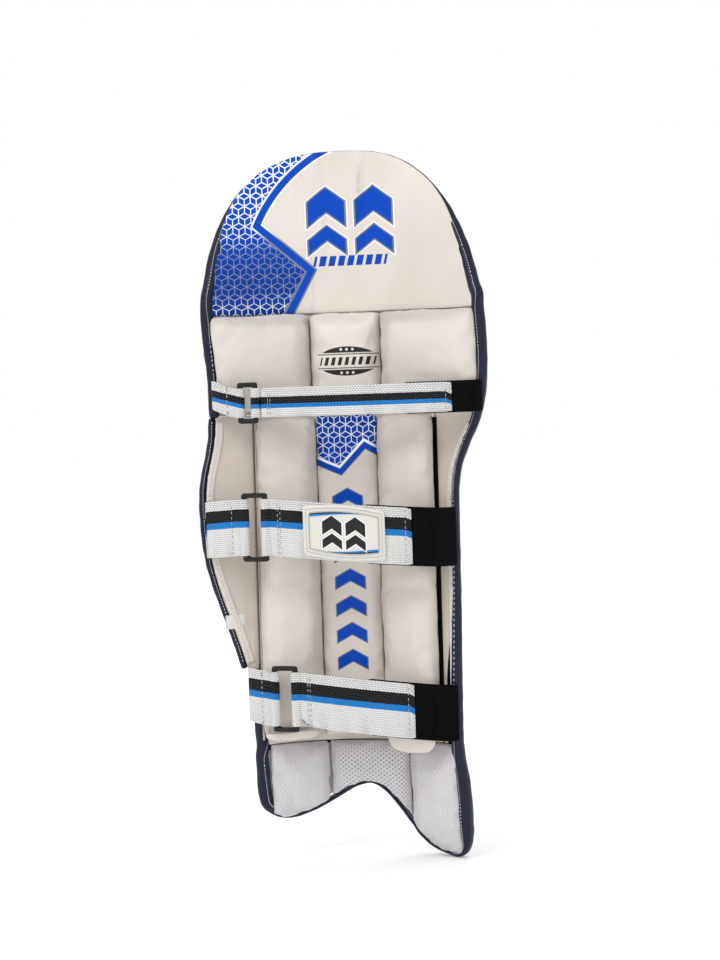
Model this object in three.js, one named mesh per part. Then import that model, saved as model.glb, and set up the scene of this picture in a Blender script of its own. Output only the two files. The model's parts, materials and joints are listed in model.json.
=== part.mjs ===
// A cricket batting leg pad, strapped closed and standing as it is worn.
// Millimetres, +Z up the leg, +X to the right when looking at the leg side, the leg at -Y, the ball at +Y.
// The origin is the leg seat: the middle of the shin panel's inner face, level with the calf strap.
//
// The pad is a trough of layers: white padding against the leg, a lining, a foam core, and a navy face whose
// channels hold canes. A knee section of three rolls joins it to the top hat above, and an ankle seam to the
// instep below. Three webbing straps close it, each hung on a rectangular ring at the left edge and stuck
// to a loop band at the right edge.
import * as THREE from "three";
import { mergeVertices } from "three/addons/utils/BufferGeometryUtils.js";

// ---------- driving dimensions ----------
const GAP = 0.6; // air left between two layers
const SEAM = 3; // room left across a seam that flexes

// Heights of the sections, measured from the leg seat.
const HAT_TOP = 380;
const HAT_SEAM = 222;
const KNEE_TOP = HAT_SEAM - 1.5;
const KNEE_BOTTOM = 120;
const SHIN_BOTTOM = -211;
const TOE_LENGTH = 117; // from the ankle seam to the long lobe's tip
const TOE_BOTTOM = SHIN_BOTTOM - TOE_LENGTH;
const HAT_SPRING = HAT_SEAM + 6; // where the straight sides of the top hat turn into its dome
// The dome's two sides. A power of 2 is an ellipse and more is squarer; taper leans the side in as it rises.
const DOME = { left: { power: 2.8, taper: 0.13 }, right: { power: 2.8, taper: 0.25 } };
const WING_TOP = KNEE_BOTTOM - 4;
const WING_BOTTOM = SHIN_BOTTOM + 81;

// The trough's cross-sections: how deep it is at a reference half width, and how it curls.
const KNEE_CURL = { depth: 60, at: 147, power: 2.2 };
const ANKLE_CURL = { depth: 50, at: 106, power: 2.1 };
const HAT_CURL = { depth: 30, at: 147, power: 2.0 };
const TOE_CURL = { depth: 46, at: 112, power: 2.0 };
const HAT_LEAN = 10; // the top hat's tip leans this far towards the thigh
const TOE_KICK = 14; // the instep's tip stands this far forward over the shoe

// Layers, in order from the leg.
const PANEL = 11.5; // printed shin panel
const BOLSTER = 26; // vertical bolsters and knee cushions
const LINING = 2.5;
const CORE = 8; // foam core
const SKIN = 4; // navy face
const WING_CORE = 6.5;
const RIGHT_WING_FACE = 9;
const INSTEP_PAD = 14;
const SEAT = PANEL + LINING + 2.5 * GAP; // from the leg seat out to the foam core's inner face

// Widths.
const SHIN_HALF = 91; // core, lining and face of the cane section
const PANEL_HALF = 30;
const BOLSTER_INNER = PANEL_HALF + 1;
const BOLSTER_OUTER = SHIN_HALF - 2;
const BINDING = 3; // radius of the piping round the edges
const EDGE = 2 * BINDING + 2 * GAP; // what the piping takes from an outline
// How far the edges flare beyond the cane section, at shares of the height from ankle seam to knee top.
const LEFT_FLARE = [[0, 9], [0.07, 11], [0.12, 12], [0.23, 23], [0.345, 37.5], [0.42, 46], [0.5, 50.5],
  [0.605, 51], [0.7, 43], [0.77, 42], [0.87, 43], [0.95, 46], [1, 46.5]];
const RIGHT_FLARE = [[0, 21], [0.35, 22.5], [0.57, 23], [0.63, 26], [0.68, 34], [0.74, 47.5],
  [0.82, 55.5], [0.93, 57], [1, 55]];
// The instep's lower edge: shares of the cane section's half width, and of the instep's length.
const TOE_OUTLINE = [
  [-1.09, 0.45], [-1.02, 0.58], [-0.86, 0.67], [-0.66, 0.658], [-0.42, 0.587],
  [-0.09, 0.445], [0.1, 0.395], [0.25, 0.45], [0.395, 0.575], [0.52, 0.7],
  [0.65, 0.845], [0.84, 0.955], [1.09, 1], [1.21, 0.985], [1.29, 0.88],
];

// Canes.
const CANE_RADIUS = 5;
const SHIN_CANES = 7;
const HAT_CANES = 5;
const CANE_PITCH = (2 * SHIN_HALF - 7) / SHIN_CANES;
const CHANNEL = 2 * CANE_RADIUS + 6; // how far a channel stands out over its cane
const CHANNEL_FADE = 16; // length over which a channel dies out at its ends

// Straps.
const WEBBING = 2.4;
const BAND = 2;
const RING_BAR = 2.5; // radius of a ring's bar
const RING_PLAY = 0.7; // between the bar and the webbing's eye
const EDGE_PLAY = 0.9; // between a ring's short bars and the webbing's edges
const HOOK_TAB = 18; // how far the hook tab reaches past the webbing
const BAND_OVERLAP = 46; // how far the loop band runs back under the webbing

// One entry for each strap, seen from above. A place across the pad is counted from the cane section's left
// side (negative is further left), or inwards from the right edge where it says so.
// level: the ring's height. lift: how much higher the tab is sewn. drop: how much lower the band ends.
// bars: the ring's two bars, each with its rise off the padding. bend: what the tab's curve leans towards.
// sewn: the tab's end, with its distance off the lining. crown: what the strap's curve leans towards, x and
// rise. tail: the band's length beyond the webbing. band: where its straight run ends, inwards from the
// right edge, and its rise. anchor: where it is sewn, inwards from the right edge, and off the lining.
const STRAPS = {
  top: {
    width: 29, level: KNEE_BOTTOM + 12.5, lift: 9, drop: 0, bars: [[-5, 19.6], [11, 29.7]], bend: [-29, 6],
    sewn: [-35, 11], crown: [[-30, 55], [100, 35]], tail: 22, band: [8.5, -7], anchor: [3, 4],
  },
  middle: {
    width: 56, level: 10.5, lift: -2.5, drop: 16, bars: [[-3, 25], [19, 42]], bend: [-32, -1],
    sewn: [-44.5, 4], crown: [[-20, 72], [85, 50]], tail: 34, band: [8, -8], anchor: [3, 4],
  },
  bottom: {
    width: 54, level: SHIN_BOTTOM + 50, lift: 4, drop: 18, bars: [[18.5, 17], [40.5, 33]], bend: [-3, 2],
    sewn: [-9, 10], crown: [[-10, 55], [80, 27]], tail: 35, band: [9.5, -11], anchor: [3.5, 5],
  },
};

// ---------- colours ----------
const paint = (color, roughness) => new THREE.MeshStandardMaterial({ color, roughness, metalness: 0 });
const NAVY = paint(0x14193a, 0.45);
const WHITE = paint(0xe9e6e2, 0.5);
const MESH_WHITE = paint(0xe6e2de, 0.85);
const FOAM = paint(0xd8d2c0, 0.95);
const CANE = paint(0xc9a66b, 0.7);
const WEB = paint(0xdedede, 0.8);
const BLACK = paint(0x0b0b0c, 0.9);
const PLASTIC = paint(0x151515, 0.4);
const LABEL = paint(0xf4f4f0, 0.6);
const RUBBER = paint(0xddd9cf, 0.5);

// ---------- small maths ----------
const lerp = (a, b, t) => a + (b - a) * t;
const clamp01 = (t) => Math.min(1, Math.max(0, t));
const smooth = (a, b, v) => {
  const t = clamp01((v - a) / (b - a));
  return t * t * (3 - 2 * t);
};
const fractions = (n) => Array.from({ length: n + 1 }, (_, i) => i / n);

// A smooth curve through a few [position, value] keys, read at one position.
function through(keys, at) {
  const last = keys.length - 1;
  if (at <= keys[0][0]) return keys[0][1];
  if (at >= keys[last][0]) return keys[last][1];
  const i = keys.findIndex((key) => key[0] > at) - 1;
  const [x0, y0] = keys[i];
  const [x1, y1] = keys[i + 1];
  const slope = (k) => {
    if (k === 0 || k === last) return 0;
    return (keys[k + 1][1] - keys[k - 1][1]) / (keys[k + 1][0] - keys[k - 1][0]);
  };
  const h = x1 - x0;
  const t = (at - x0) / h;
  const a = (1 + 2 * t) * (1 - t) ** 2;
  const b = t * (1 - t) ** 2;
  const c = t * t * (3 - 2 * t);
  const d = t * t * (t - 1);
  return a * y0 + b * h * slope(i) + c * y1 + d * h * slope(i + 1);
}

// ---------- the trough ----------
const curl = ({ depth, at, power }, x) => depth * Math.abs(x / at) ** power;

// y of the foam core's inner face. It is ruled along z between sections, so that a cane lies straight in it.
function shell(x, z) {
  if (z >= HAT_SEAM) {
    const t = (z - HAT_SEAM) / (HAT_TOP - HAT_SEAM);
    return SEAT - lerp(curl(KNEE_CURL, x), curl(HAT_CURL, x) + HAT_LEAN, t);
  }
  if (z >= KNEE_BOTTOM) return SEAT - curl(KNEE_CURL, x);
  if (z >= SHIN_BOTTOM) {
    const t = (KNEE_BOTTOM - z) / (KNEE_BOTTOM - SHIN_BOTTOM);
    return SEAT - lerp(curl(KNEE_CURL, x), curl(ANKLE_CURL, x), t);
  }
  const t = (SHIN_BOTTOM - z) / (SHIN_BOTTOM - TOE_BOTTOM);
  return SEAT - lerp(curl(ANKLE_CURL, x), curl(TOE_CURL, x) - TOE_KICK, t);
}

const shellSlope = (x, z) => (shell(x + 1, z) - shell(x - 1, z)) / 2;

// ---------- outlines: the outermost edge of the pad, piping included ----------
const flare = (keys, z) => SHIN_HALF + through(keys, (z - SHIN_BOTTOM) / (KNEE_TOP - SHIN_BOTTOM));
const leftEdge = (z) => -flare(LEFT_FLARE, z);
const rightEdge = (z) => flare(RIGHT_FLARE, z);
const domeSide = (side) => side < 0 ? DOME.left : DOME.right;
// How wide a side of the dome still is at a share of its rise, as a share of its width at the spring.
const domeSpan = ({ power, taper }, rise) => (1 - taper * rise) * (1 - rise ** power) ** (1 / power);
const HAT_CENTRE = (leftEdge(KNEE_TOP) + rightEdge(KNEE_TOP)) / 2;
const HAT_HALF = (rightEdge(KNEE_TOP) - leftEdge(KNEE_TOP)) / 2;
const domeEdge = (x, inset) => {
  const half = HAT_HALF - inset;
  const across = Math.min(1, Math.abs(x - HAT_CENTRE) / half);
  const side = domeSide(x - HAT_CENTRE);
  let low = 0;
  let high = 1;
  for (let k = 0; k < 30; k++) {
    const mid = (low + high) / 2;
    if (domeSpan(side, mid) > across) low = mid;
    else high = mid;
  }
  return HAT_SPRING + (HAT_TOP - inset - HAT_SPRING) * low;
};
const toeEdge = (x) => SHIN_BOTTOM - TOE_LENGTH * through(TOE_OUTLINE, x / SHIN_HALF);
const toeInset = (x, inset) => toeEdge(x) + inset * Math.hypot(1, (toeEdge(x + 1) - toeEdge(x - 1)) / 2);
const toeLeft = (z) => leftEdge(SHIN_BOTTOM) + 4 * smooth(0.4, 1, (SHIN_BOTTOM - z) / TOE_LENGTH);
const toeRight = (z) => rightEdge(SHIN_BOTTOM) + 5 * smooth(0, 0.45, (SHIN_BOTTOM - z) / TOE_LENGTH);

// ---------- solids ----------
// Leaves only positions, with shared vertices merged, which is what a closed body needs.
function bare(geometry) {
  geometry.deleteAttribute("normal");
  geometry.deleteAttribute("uv");
  return mergeVertices(geometry, 1e-3);
}

// Moves each vertex of a geometry to where place says.
function moved(geometry, place) {
  const position = geometry.getAttribute("position");
  for (let i = 0; i < position.count; i++) {
    position.setXYZ(i, ...place(position.getX(i), position.getY(i), position.getZ(i)));
  }
  return geometry;
}

// A closed layer over the trough. left and right give its sides at a height, bottom and top its ends at an
// x, front and back its two faces; front is the one nearer the leg. columns and rows are its grid, in shares.
function layer({ left, right, bottom, top, front, back, columns, rows }) {
  const middle = (left(0, 0.5) + right(0, 0.5)) / 2;
  const box = bare(new THREE.BoxGeometry(1, 1, 1, columns.length - 1, 1, rows.length - 1));
  return moved(box, (u, v, w) => {
    const s = columns[Math.round((u + 0.5) * (columns.length - 1))];
    const t = rows[Math.round((w + 0.5) * (rows.length - 1))];
    const level = lerp(bottom(middle), top(middle), t);
    const x = lerp(left(level, t), right(level, t), s);
    const z = lerp(bottom(x), top(x), t);
    const face = v < 0 ? front : back;
    return [x, face(x, z, s, t), z];
  });
}

const plain = (value) => () => value;
const offset = (y) => (x, z) => shell(x, z) + y;

// A stuffed cushion's face: full in the middle, turned down to a thin seam all round.
function crowned(base, thickness, seam = 4) {
  const round = (s) => Math.sqrt(1 - Math.abs(2 * s - 1) ** 5);
  return (x, z, s, t) => shell(x, z) + base - lerp(seam, thickness, Math.min(round(s), round(t)));
}

// A round rod or piping along points.
function tube(points, radius, steps, sides) {
  const section = new THREE.Shape().absarc(0, 0, radius, 0, 2 * Math.PI);
  const straight = points.length === 2;
  const extrudePath = straight ? new THREE.LineCurve3(...points) : new THREE.CatmullRomCurve3(points);
  return bare(new THREE.ExtrudeGeometry(section, { extrudePath, steps, curveSegments: sides / 2 }));
}

// ---------- the group and its nodes ----------
const pad = new THREE.Group();

function add(name, geometry, material) {
  const mesh = new THREE.Mesh(geometry, material);
  mesh.name = name;
  pad.add(mesh);
}

// ---------- canes and the faces quilted over them ----------
const caneX = (i, count) => (i - (count - 1) / 2) * CANE_PITCH;

// How far a channel stands out at x, for a row of channels centred on zero.
function channel(x, count) {
  const half = (count * CANE_PITCH) / 2;
  if (Math.abs(x) >= half) return 0;
  const across = (((x + half) % CANE_PITCH) / CANE_PITCH) * 2 - 1;
  return CHANNEL * (1 - Math.abs(across) ** 2.5);
}

// A cane lying in its channel, just clear of the foam core at both ends.
function cane(x, low, high) {
  const place = (z) => {
    const steepest = Math.max(Math.abs(shellSlope(x, low)), Math.abs(shellSlope(x, high)));
    const lift = (CANE_RADIUS + GAP) * Math.hypot(1, steepest);
    return new THREE.Vector3(x, shell(x, z) + CORE + GAP + lift, z);
  };
  return tube([place(low), place(high)], CANE_RADIUS, 1, 8);
}

// Column fractions that put a vertex on each quarter of each channel and steps of about a pitch beyond.
function channelColumns(left, right, count) {
  const half = (count * CANE_PITCH) / 2;
  const xs = [];
  for (let k = 0; k <= 4 * count; k++) xs.push(-half + (k * CANE_PITCH) / 4);
  const flank = (from, to) => {
    const n = Math.max(1, Math.ceil(Math.abs(to - from) / 12));
    for (let k = 1; k <= n; k++) xs.push(lerp(from, to, k / n));
  };
  flank(-half, left);
  flank(half, right);
  return xs.sort((a, b) => a - b).map((x) => (x - left) / (right - left));
}

const fadeRows = (length) => {
  const fade = CHANNEL_FADE / length;
  return [0, fade, 0.2, 0.35, 0.5, 0.65, 0.8, 1 - fade, 1];
};

// ---------- shin ----------
const shinLength = KNEE_BOTTOM - GAP - SHIN_BOTTOM;
const shinSpan = {
  left: plain(-SHIN_HALF), right: plain(SHIN_HALF), bottom: plain(SHIN_BOTTOM), top: plain(KNEE_BOTTOM - GAP),
};

function shinBump(x, t) {
  const fade = CHANNEL_FADE / shinLength;
  return channel(x, SHIN_CANES) * smooth(0, fade, t) * smooth(0, fade, 1 - t);
}

add("shin_face", layer({
  ...shinSpan,
  front: (x, z, s, t) => shell(x, z) + CORE + GAP + shinBump(x, t),
  back: (x, z, s, t) => shell(x, z) + CORE + GAP + SKIN + shinBump(x, t),
  columns: channelColumns(-SHIN_HALF, SHIN_HALF, SHIN_CANES),
  rows: fadeRows(shinLength),
}), NAVY);

for (let i = 0; i < SHIN_CANES; i++) {
  const low = SHIN_BOTTOM + CHANNEL_FADE;
  const high = KNEE_BOTTOM - CHANNEL_FADE - GAP;
  add(`shin_cane_${i + 1}`, cane(caneX(i, SHIN_CANES), low, high), CANE);
}

const shinGrid = { columns: fractions(16), rows: fractions(8) };
add("shin_foam_core", layer({ ...shinSpan, ...shinGrid, front: offset(0), back: offset(CORE) }), FOAM);
add("shin_lining", layer({
  ...shinSpan, ...shinGrid, front: offset(-GAP - LINING), back: offset(-GAP),
}), WHITE);

// The bolsters end just above the ankle seam, the right one a little lower than the left.
const BOLSTER_TOP = KNEE_BOTTOM - 3;
const bolsterBase = -LINING - 2.5 * GAP;
const bolsterEnds = { left: SHIN_BOTTOM + 2, right: SHIN_BOTTOM + 1 };
for (const [side, sign] of [["left", -1], ["right", 1]]) {
  add(`${side}_bolster`, layer({
    left: plain(Math.min(sign * BOLSTER_INNER, sign * BOLSTER_OUTER)),
    right: plain(Math.max(sign * BOLSTER_INNER, sign * BOLSTER_OUTER)),
    bottom: plain(bolsterEnds[side]),
    top: plain(BOLSTER_TOP),
    front: crowned(bolsterBase, BOLSTER),
    back: offset(bolsterBase),
    columns: [0, 0.05, 0.17, 0.36, 0.64, 0.83, 0.95, 1],
    rows: [0, 0.015, 0.05, 0.12, 0.3, 0.5, 0.7, 0.88, 0.95, 0.985, 1],
  }), MESH_WHITE);
}

add("shin_panel", layer({
  left: plain(-PANEL_HALF), right: plain(PANEL_HALF), bottom: plain(SHIN_BOTTOM + 4), top: plain(BOLSTER_TOP),
  front: offset(bolsterBase - PANEL), back: offset(bolsterBase), columns: fractions(6), rows: fractions(4),
}), WHITE);

// ---------- right wing, sewn to the shin ----------
const rightWing = {
  left: plain(SHIN_HALF + GAP), right: (z) => rightEdge(z) - EDGE,
  bottom: plain(SHIN_BOTTOM), top: plain(KNEE_BOTTOM - GAP), columns: fractions(3), rows: fractions(16),
};
add("right_wing_face", layer({ ...rightWing, front: offset(0), back: offset(RIGHT_WING_FACE) }), NAVY);
add("right_wing_lining", layer({
  ...rightWing, right: (z) => rightEdge(z) - EDGE - lerp(9, 0, smooth(-150, -60, z)),
  front: offset(-GAP - LINING), back: offset(-GAP),
}), WHITE);

// ---------- left wing, folding along the shin's edge ----------
const WING_FOLD = SHIN_HALF + 1; // the fold's distance from the middle
const leftWing = {
  left: (z) => leftEdge(z) + EDGE, right: plain(-WING_FOLD - 1),
  bottom: plain(WING_BOTTOM), top: plain(WING_TOP), columns: fractions(4), rows: fractions(12),
};
add("left_wing_face", layer({
  ...leftWing, front: offset(WING_CORE + GAP), back: offset(WING_CORE + GAP + SKIN),
}), NAVY);
add("left_wing_foam", layer({ ...leftWing, front: offset(0), back: offset(WING_CORE) }), FOAM);
add("left_wing_lining", layer({
  ...leftWing, front: offset(-GAP - LINING), back: offset(-GAP),
}), WHITE);

// ---------- knee section ----------
const kneeSpan = { left: (z) => leftEdge(z) + EDGE, right: (z) => rightEdge(z) - EDGE };
add("knee_backing", layer({
  ...kneeSpan, bottom: plain(KNEE_BOTTOM), top: plain(KNEE_TOP), front: offset(0), back: offset(CORE),
  columns: fractions(28), rows: fractions(2),
}), NAVY);

const KNEE_ROLLS = ["lower", "middle", "upper"];
const ROLL_DEPTH = 30;
const rollHeight = (KNEE_TOP - KNEE_BOTTOM) / KNEE_ROLLS.length;
KNEE_ROLLS.forEach((name, i) => {
  add(`knee_roll_${name}`, layer({
    ...kneeSpan,
    bottom: plain(KNEE_BOTTOM + i * rollHeight + GAP),
    top: plain(KNEE_BOTTOM + (i + 1) * rollHeight - GAP),
    front: offset(CORE + GAP),
    back: (x, z, s, t) => {
      const end = 1 - Math.abs(2 * s - 1) ** 6;
      const round = Math.sqrt(1 - Math.abs(2 * t - 1) ** 2.5);
      return shell(x, z) + CORE + GAP + lerp(4, ROLL_DEPTH, end * round);
    },
    columns: fractions(20), rows: [0, 0.12, 0.5, 0.88, 1],
  }), NAVY);
});

// Three cushions behind the knee, meeting at two seams.
const CUSHION_BOTTOM = KNEE_BOTTOM + 4;
const CUSHION_TOP = KNEE_TOP - 1.5;
const KNEE_SEAMS = { left: -34, right: 37 };
const cushions = {
  left: [(z) => leftEdge(z) + EDGE + 3, plain(KNEE_SEAMS.left - GAP)],
  centre: [plain(KNEE_SEAMS.left + GAP), plain(KNEE_SEAMS.right - GAP)],
  right: [plain(KNEE_SEAMS.right + GAP), (z) => rightEdge(z) - EDGE - 3],
};
for (const [name, [left, right]] of Object.entries(cushions)) {
  add(`knee_cushion_${name}`, layer({
    left, right, bottom: plain(CUSHION_BOTTOM), top: plain(CUSHION_TOP),
    front: crowned(-GAP, BOLSTER), back: offset(-GAP),
    columns: [0, 0.04, 0.12, 0.26, 0.5, 0.74, 0.88, 0.96, 1],
    rows: [0, 0.04, 0.14, 0.35, 0.65, 0.86, 0.96, 1],
  }), name === "centre" ? WHITE : MESH_WHITE);
}

// ---------- top hat ----------
// Its lower edge climbs with the trough's sides, so that the flap leans both ways clear of the knee.
const HAT_LEAN_ROOM = 0.13;
const hatBottom = (x) => HAT_SEAM + SEAM + curl(KNEE_CURL, x) * HAT_LEAN_ROOM;
const HAT_CHANNEL_LOW = HAT_SEAM + 26;

function hatLayer(inset, front, back, columns, rows) {
  return layer({
    left: plain(HAT_CENTRE - HAT_HALF + inset), right: plain(HAT_CENTRE + HAT_HALF - inset),
    bottom: hatBottom, top: (x) => domeEdge(x, inset), front, back, columns, rows,
  });
}

// The hat's channels die out between these two distances below the dome's edge.
const HAT_FADE = [22, 8];
function hatBump(x, z) {
  const top = domeEdge(x, EDGE);
  const low = smooth(HAT_SEAM + SEAM, HAT_CHANNEL_LOW, z);
  return channel(x, HAT_CANES) * low * (1 - smooth(top - HAT_FADE[0], top - HAT_FADE[1], z));
}

const hatShare = (distance) => distance / (HAT_TOP - HAT_SEAM);
const hatFaceRows = [
  0, hatShare(HAT_CHANNEL_LOW - HAT_SEAM), 1 - hatShare(HAT_FADE[0] + 8), 1 - hatShare(HAT_FADE[0]),
  1 - hatShare((HAT_FADE[0] + HAT_FADE[1]) / 2), 1 - hatShare(HAT_FADE[1]), 1,
];
const hatFaceColumns = channelColumns(HAT_CENTRE - HAT_HALF + EDGE, HAT_CENTRE + HAT_HALF - EDGE, HAT_CANES);
add("top_hat_face", hatLayer(
  EDGE,
  (x, z) => shell(x, z) + CORE + GAP + hatBump(x, z),
  (x, z) => shell(x, z) + CORE + GAP + SKIN + hatBump(x, z),
  hatFaceColumns, hatFaceRows,
), NAVY);

for (let i = 0; i < HAT_CANES; i++) {
  const x = caneX(i, HAT_CANES);
  add(`top_hat_cane_${i + 1}`, cane(x, HAT_CHANNEL_LOW + 2, domeEdge(x, EDGE) - HAT_FADE[0] - 10), CANE);
}
add("top_hat_foam_core", hatLayer(EDGE, offset(0), offset(CORE), hatFaceColumns, fractions(2)), FOAM);
add("top_hat_lining", hatLayer(
  EDGE, offset(-GAP - LINING), offset(-GAP), hatFaceColumns, fractions(2),
), WHITE);

// ---------- instep ----------
// Its upper edge drops with the trough's sides, again for room to flex.
const INSTEP_LEAN_ROOM = 0.1;
const instepTop = (x) => SHIN_BOTTOM - SEAM - curl(ANKLE_CURL, x) * INSTEP_LEAN_ROOM;
const INSTEP_SEAMS = { left: -29, right: 54 };
const LOBE_ROUND = 7; // how much the lobes narrow at their tips
add("instep_face", layer({
  left: (z, t) => toeLeft(z) + EDGE + LOBE_ROUND * (1 - t) ** 3,
  right: (z, t) => toeRight(z) - EDGE - LOBE_ROUND * (1 - t) ** 3,
  bottom: (x) => toeInset(x, EDGE), top: instepTop, front: offset(0), back: offset(CORE + SKIN),
  columns: fractions(20), rows: fractions(4),
}), NAVY);

const instepPads = {
  left: [plain(6 - SHIN_HALF), plain(INSTEP_SEAMS.left - GAP)],
  centre: [plain(INSTEP_SEAMS.left + GAP), plain(INSTEP_SEAMS.right - GAP)],
  right: [plain(INSTEP_SEAMS.right + GAP), plain(SHIN_HALF + 14)],
};
for (const [name, [left, right]] of Object.entries(instepPads)) {
  add(`instep_pad_${name}`, layer({
    left, right, bottom: (x) => toeInset(x, EDGE + 1), top: (x) => instepTop(x) - 1,
    front: crowned(-GAP, INSTEP_PAD, 3), back: offset(-GAP),
    columns: [0, 0.06, 0.2, 0.4, 0.6, 0.8, 0.94, 1], rows: [0, 0.08, 0.25, 0.5, 0.75, 0.92, 1],
  }), MESH_WHITE);
}

// ---------- piping round the edges ----------
// Each run is a tube whose centre lies its own radius inside the outline.
const PIPING_SIDES = 6;
const pipingAt = (x, z) => new THREE.Vector3(x, shell(x, z) + CORE / 2, z);
const piping = (points, steps) => tube(points, BINDING, steps, PIPING_SIDES);
const upEdge = (low, high, count, edge, sign) => fractions(count).map((t) => {
  const z = lerp(low, high, t);
  return pipingAt(edge(z) - sign * BINDING, z);
});
const shinEdge = () => -SHIN_HALF - 2 * GAP - 2 * BINDING;
add("right_binding", piping(upEdge(SHIN_BOTTOM + 1, KNEE_TOP - 1, 20, rightEdge, 1), 30), NAVY);
add("left_wing_binding", piping(upEdge(WING_BOTTOM + 1, WING_TOP - 1, 10, leftEdge, -1), 14), NAVY);
add("left_shin_binding", piping(upEdge(SHIN_BOTTOM + 1, WING_BOTTOM - 2, 3, shinEdge, -1), 4), NAVY);
add("knee_left_binding", piping(upEdge(KNEE_BOTTOM - 3, KNEE_TOP - 1, 4, leftEdge, -1), 5), NAVY);

const hatSide = HAT_HALF - BINDING;
const hatFoot = (x) => pipingAt(x, hatBottom(x) + 1);
const hatArc = fractions(16).map((t) => {
  const angle = Math.PI * (1 - t);
  const side = domeSide(Math.cos(angle));
  const rise = Math.sin(angle) ** (2 / side.power);
  const x = HAT_CENTRE + hatSide * Math.sign(Math.cos(angle)) * domeSpan(side, rise);
  return pipingAt(x, HAT_SPRING + (HAT_TOP - BINDING - HAT_SPRING) * rise);
});
const hatRun = [hatFoot(HAT_CENTRE - hatSide), ...hatArc, hatFoot(HAT_CENTRE + hatSide)];
add("top_hat_binding", piping(hatRun, 28), NAVY);

// Down the left side of the instep, along its arch and lobes, and up the right side.
const toeSides = [11, 34, 51].map((below) => SHIN_BOTTOM - below);
const toeShares = [-0.95, -0.81, -0.66, -0.44, -0.22, -0.04, 0.11, 0.26, 0.42, 0.57, 0.72, 0.88, 1.03, 1.15];
add("instep_binding", piping([
  ...toeSides.map((z) => pipingAt(toeLeft(z) + BINDING, z)),
  pipingAt(toeLeft(TOE_BOTTOM), SHIN_BOTTOM - 61),
  ...toeShares.map((share) => pipingAt(share * SHIN_HALF, toeInset(share * SHIN_HALF, BINDING))),
  pipingAt(toeRight(TOE_BOTTOM) - 4.5, TOE_BOTTOM + 15),
  ...[SHIN_BOTTOM - 84, ...toeSides.toReversed()].map((z) => pipingAt(toeRight(z) - BINDING, z)),
], 40), NAVY);

// ---------- straps ----------
// A point seen from above: off the lining's inner face, or off the padding on it.
const offLining = (x, z, off) => new THREE.Vector2(x, shell(x, z) - LINING - off);
const offPadding = (x, z, rise) => offLining(x, z, BOLSTER + rise);
const fromLeft = (across) => across - SHIN_HALF;

// Where a strap's pieces go: the ring's bars, the tab's curve, and the line the strap and its band follow.
function route({ level, lift, drop, bars, bend, sewn, crown, band, anchor, tail }) {
  const low = level - drop;
  const [near, far] = bars.map(([across, rise]) => offPadding(fromLeft(across), level, rise));
  const end = offPadding(rightEdge(low) - band[0], low, band[1]);
  return {
    near, far, end,
    tab: new THREE.QuadraticBezierCurve(
      near,
      offPadding(fromLeft(bend[0]), level, bend[1]),
      offLining(fromLeft(sewn[0]), level + lift, sewn[1]),
    ),
    line: new THREE.CubicBezierCurve(far, ...crown.map(([x, rise]) => offPadding(x, level, rise)), end),
    reach: end.x - tail,
    anchor: offLining(rightEdge(low) - anchor[0], low, anchor[1]),
  };
}

// Points of a line from one x to another, moved sideways; positive is away from the leg.
function along(line, from, to, steps, sideways = 0) {
  const atX = (x) => {
    let low = 0;
    let high = 1;
    for (let k = 0; k < 30; k++) {
      const mid = (low + high) / 2;
      if (line.getPoint(mid).x < x) low = mid;
      else high = mid;
    }
    return low;
  };
  const a = atX(from);
  const b = atX(to);
  return fractions(steps).map((t) => {
    const u = lerp(a, b, t);
    const d = line.getTangent(u);
    return line.getPoint(u).add(new THREE.Vector2(d.y, -d.x).multiplyScalar(sideways));
  });
}

// Webbing whose near end is an eye round a ring's bar: a flat shape seen from above, drawn up by its width.
function webbing(eye, points, thickness, width) {
  const inner = RING_BAR + RING_PLAY;
  const outer = inner + thickness * 0.75;
  const half = thickness / 2;
  const heading = Math.atan2(points[0].y - eye.y, points[0].x - eye.x);
  const open = Math.asin(half / outer);
  const sides = [[], []];
  points.forEach((p, i) => {
    const before = i === 0 ? eye : points[i - 1];
    const after = points[Math.min(points.length - 1, i + 1)];
    const d = new THREE.Vector2().subVectors(after, before).normalize();
    sides[0].push(new THREE.Vector2(p.x + d.y * half, p.y - d.x * half));
    sides[1].push(new THREE.Vector2(p.x - d.y * half, p.y + d.x * half));
  });
  const turn = 14;
  const loop = fractions(turn).map((t) => {
    const angle = heading + open + (2 * Math.PI - 2 * open) * t;
    return new THREE.Vector2(eye.x + outer * Math.cos(angle), eye.y + outer * Math.sin(angle));
  });
  const shape = new THREE.Shape([...sides[0], ...sides[1].reverse(), ...loop]);
  const hole = fractions(12).slice(0, -1).map((t) => {
    const angle = -2 * Math.PI * t;
    return new THREE.Vector2(eye.x + inner * Math.cos(angle), eye.y + inner * Math.sin(angle));
  });
  shape.holes.push(new THREE.Path(hole));
  return bare(new THREE.ExtrudeGeometry(shape, { depth: width, bevelEnabled: false, curveSegments: 1 }));
}

// Moves each point of a geometry up by a height that follows from its x.
const raised = (geometry, height) => moved(geometry, (x, y, z) => [x, y, z + height(x)]);

// A flat strip along points seen from above; level gives its middle at an x, half its half width at a share.
function strip(points, thickness, level, half) {
  const last = points.length - 1;
  return moved(bare(new THREE.BoxGeometry(1, 1, 1, last, 1, 1)), (u, v, w) => {
    const i = Math.round((u + 0.5) * last);
    const p = points[i];
    const d = points[Math.min(last, i + 1)].clone();
    d.sub(points[Math.max(0, i - 1)]).normalize();
    return [p.x - d.y * thickness * v, p.y + d.x * thickness * v, level(p.x) + 2 * w * half(i / last)];
  });
}

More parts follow.
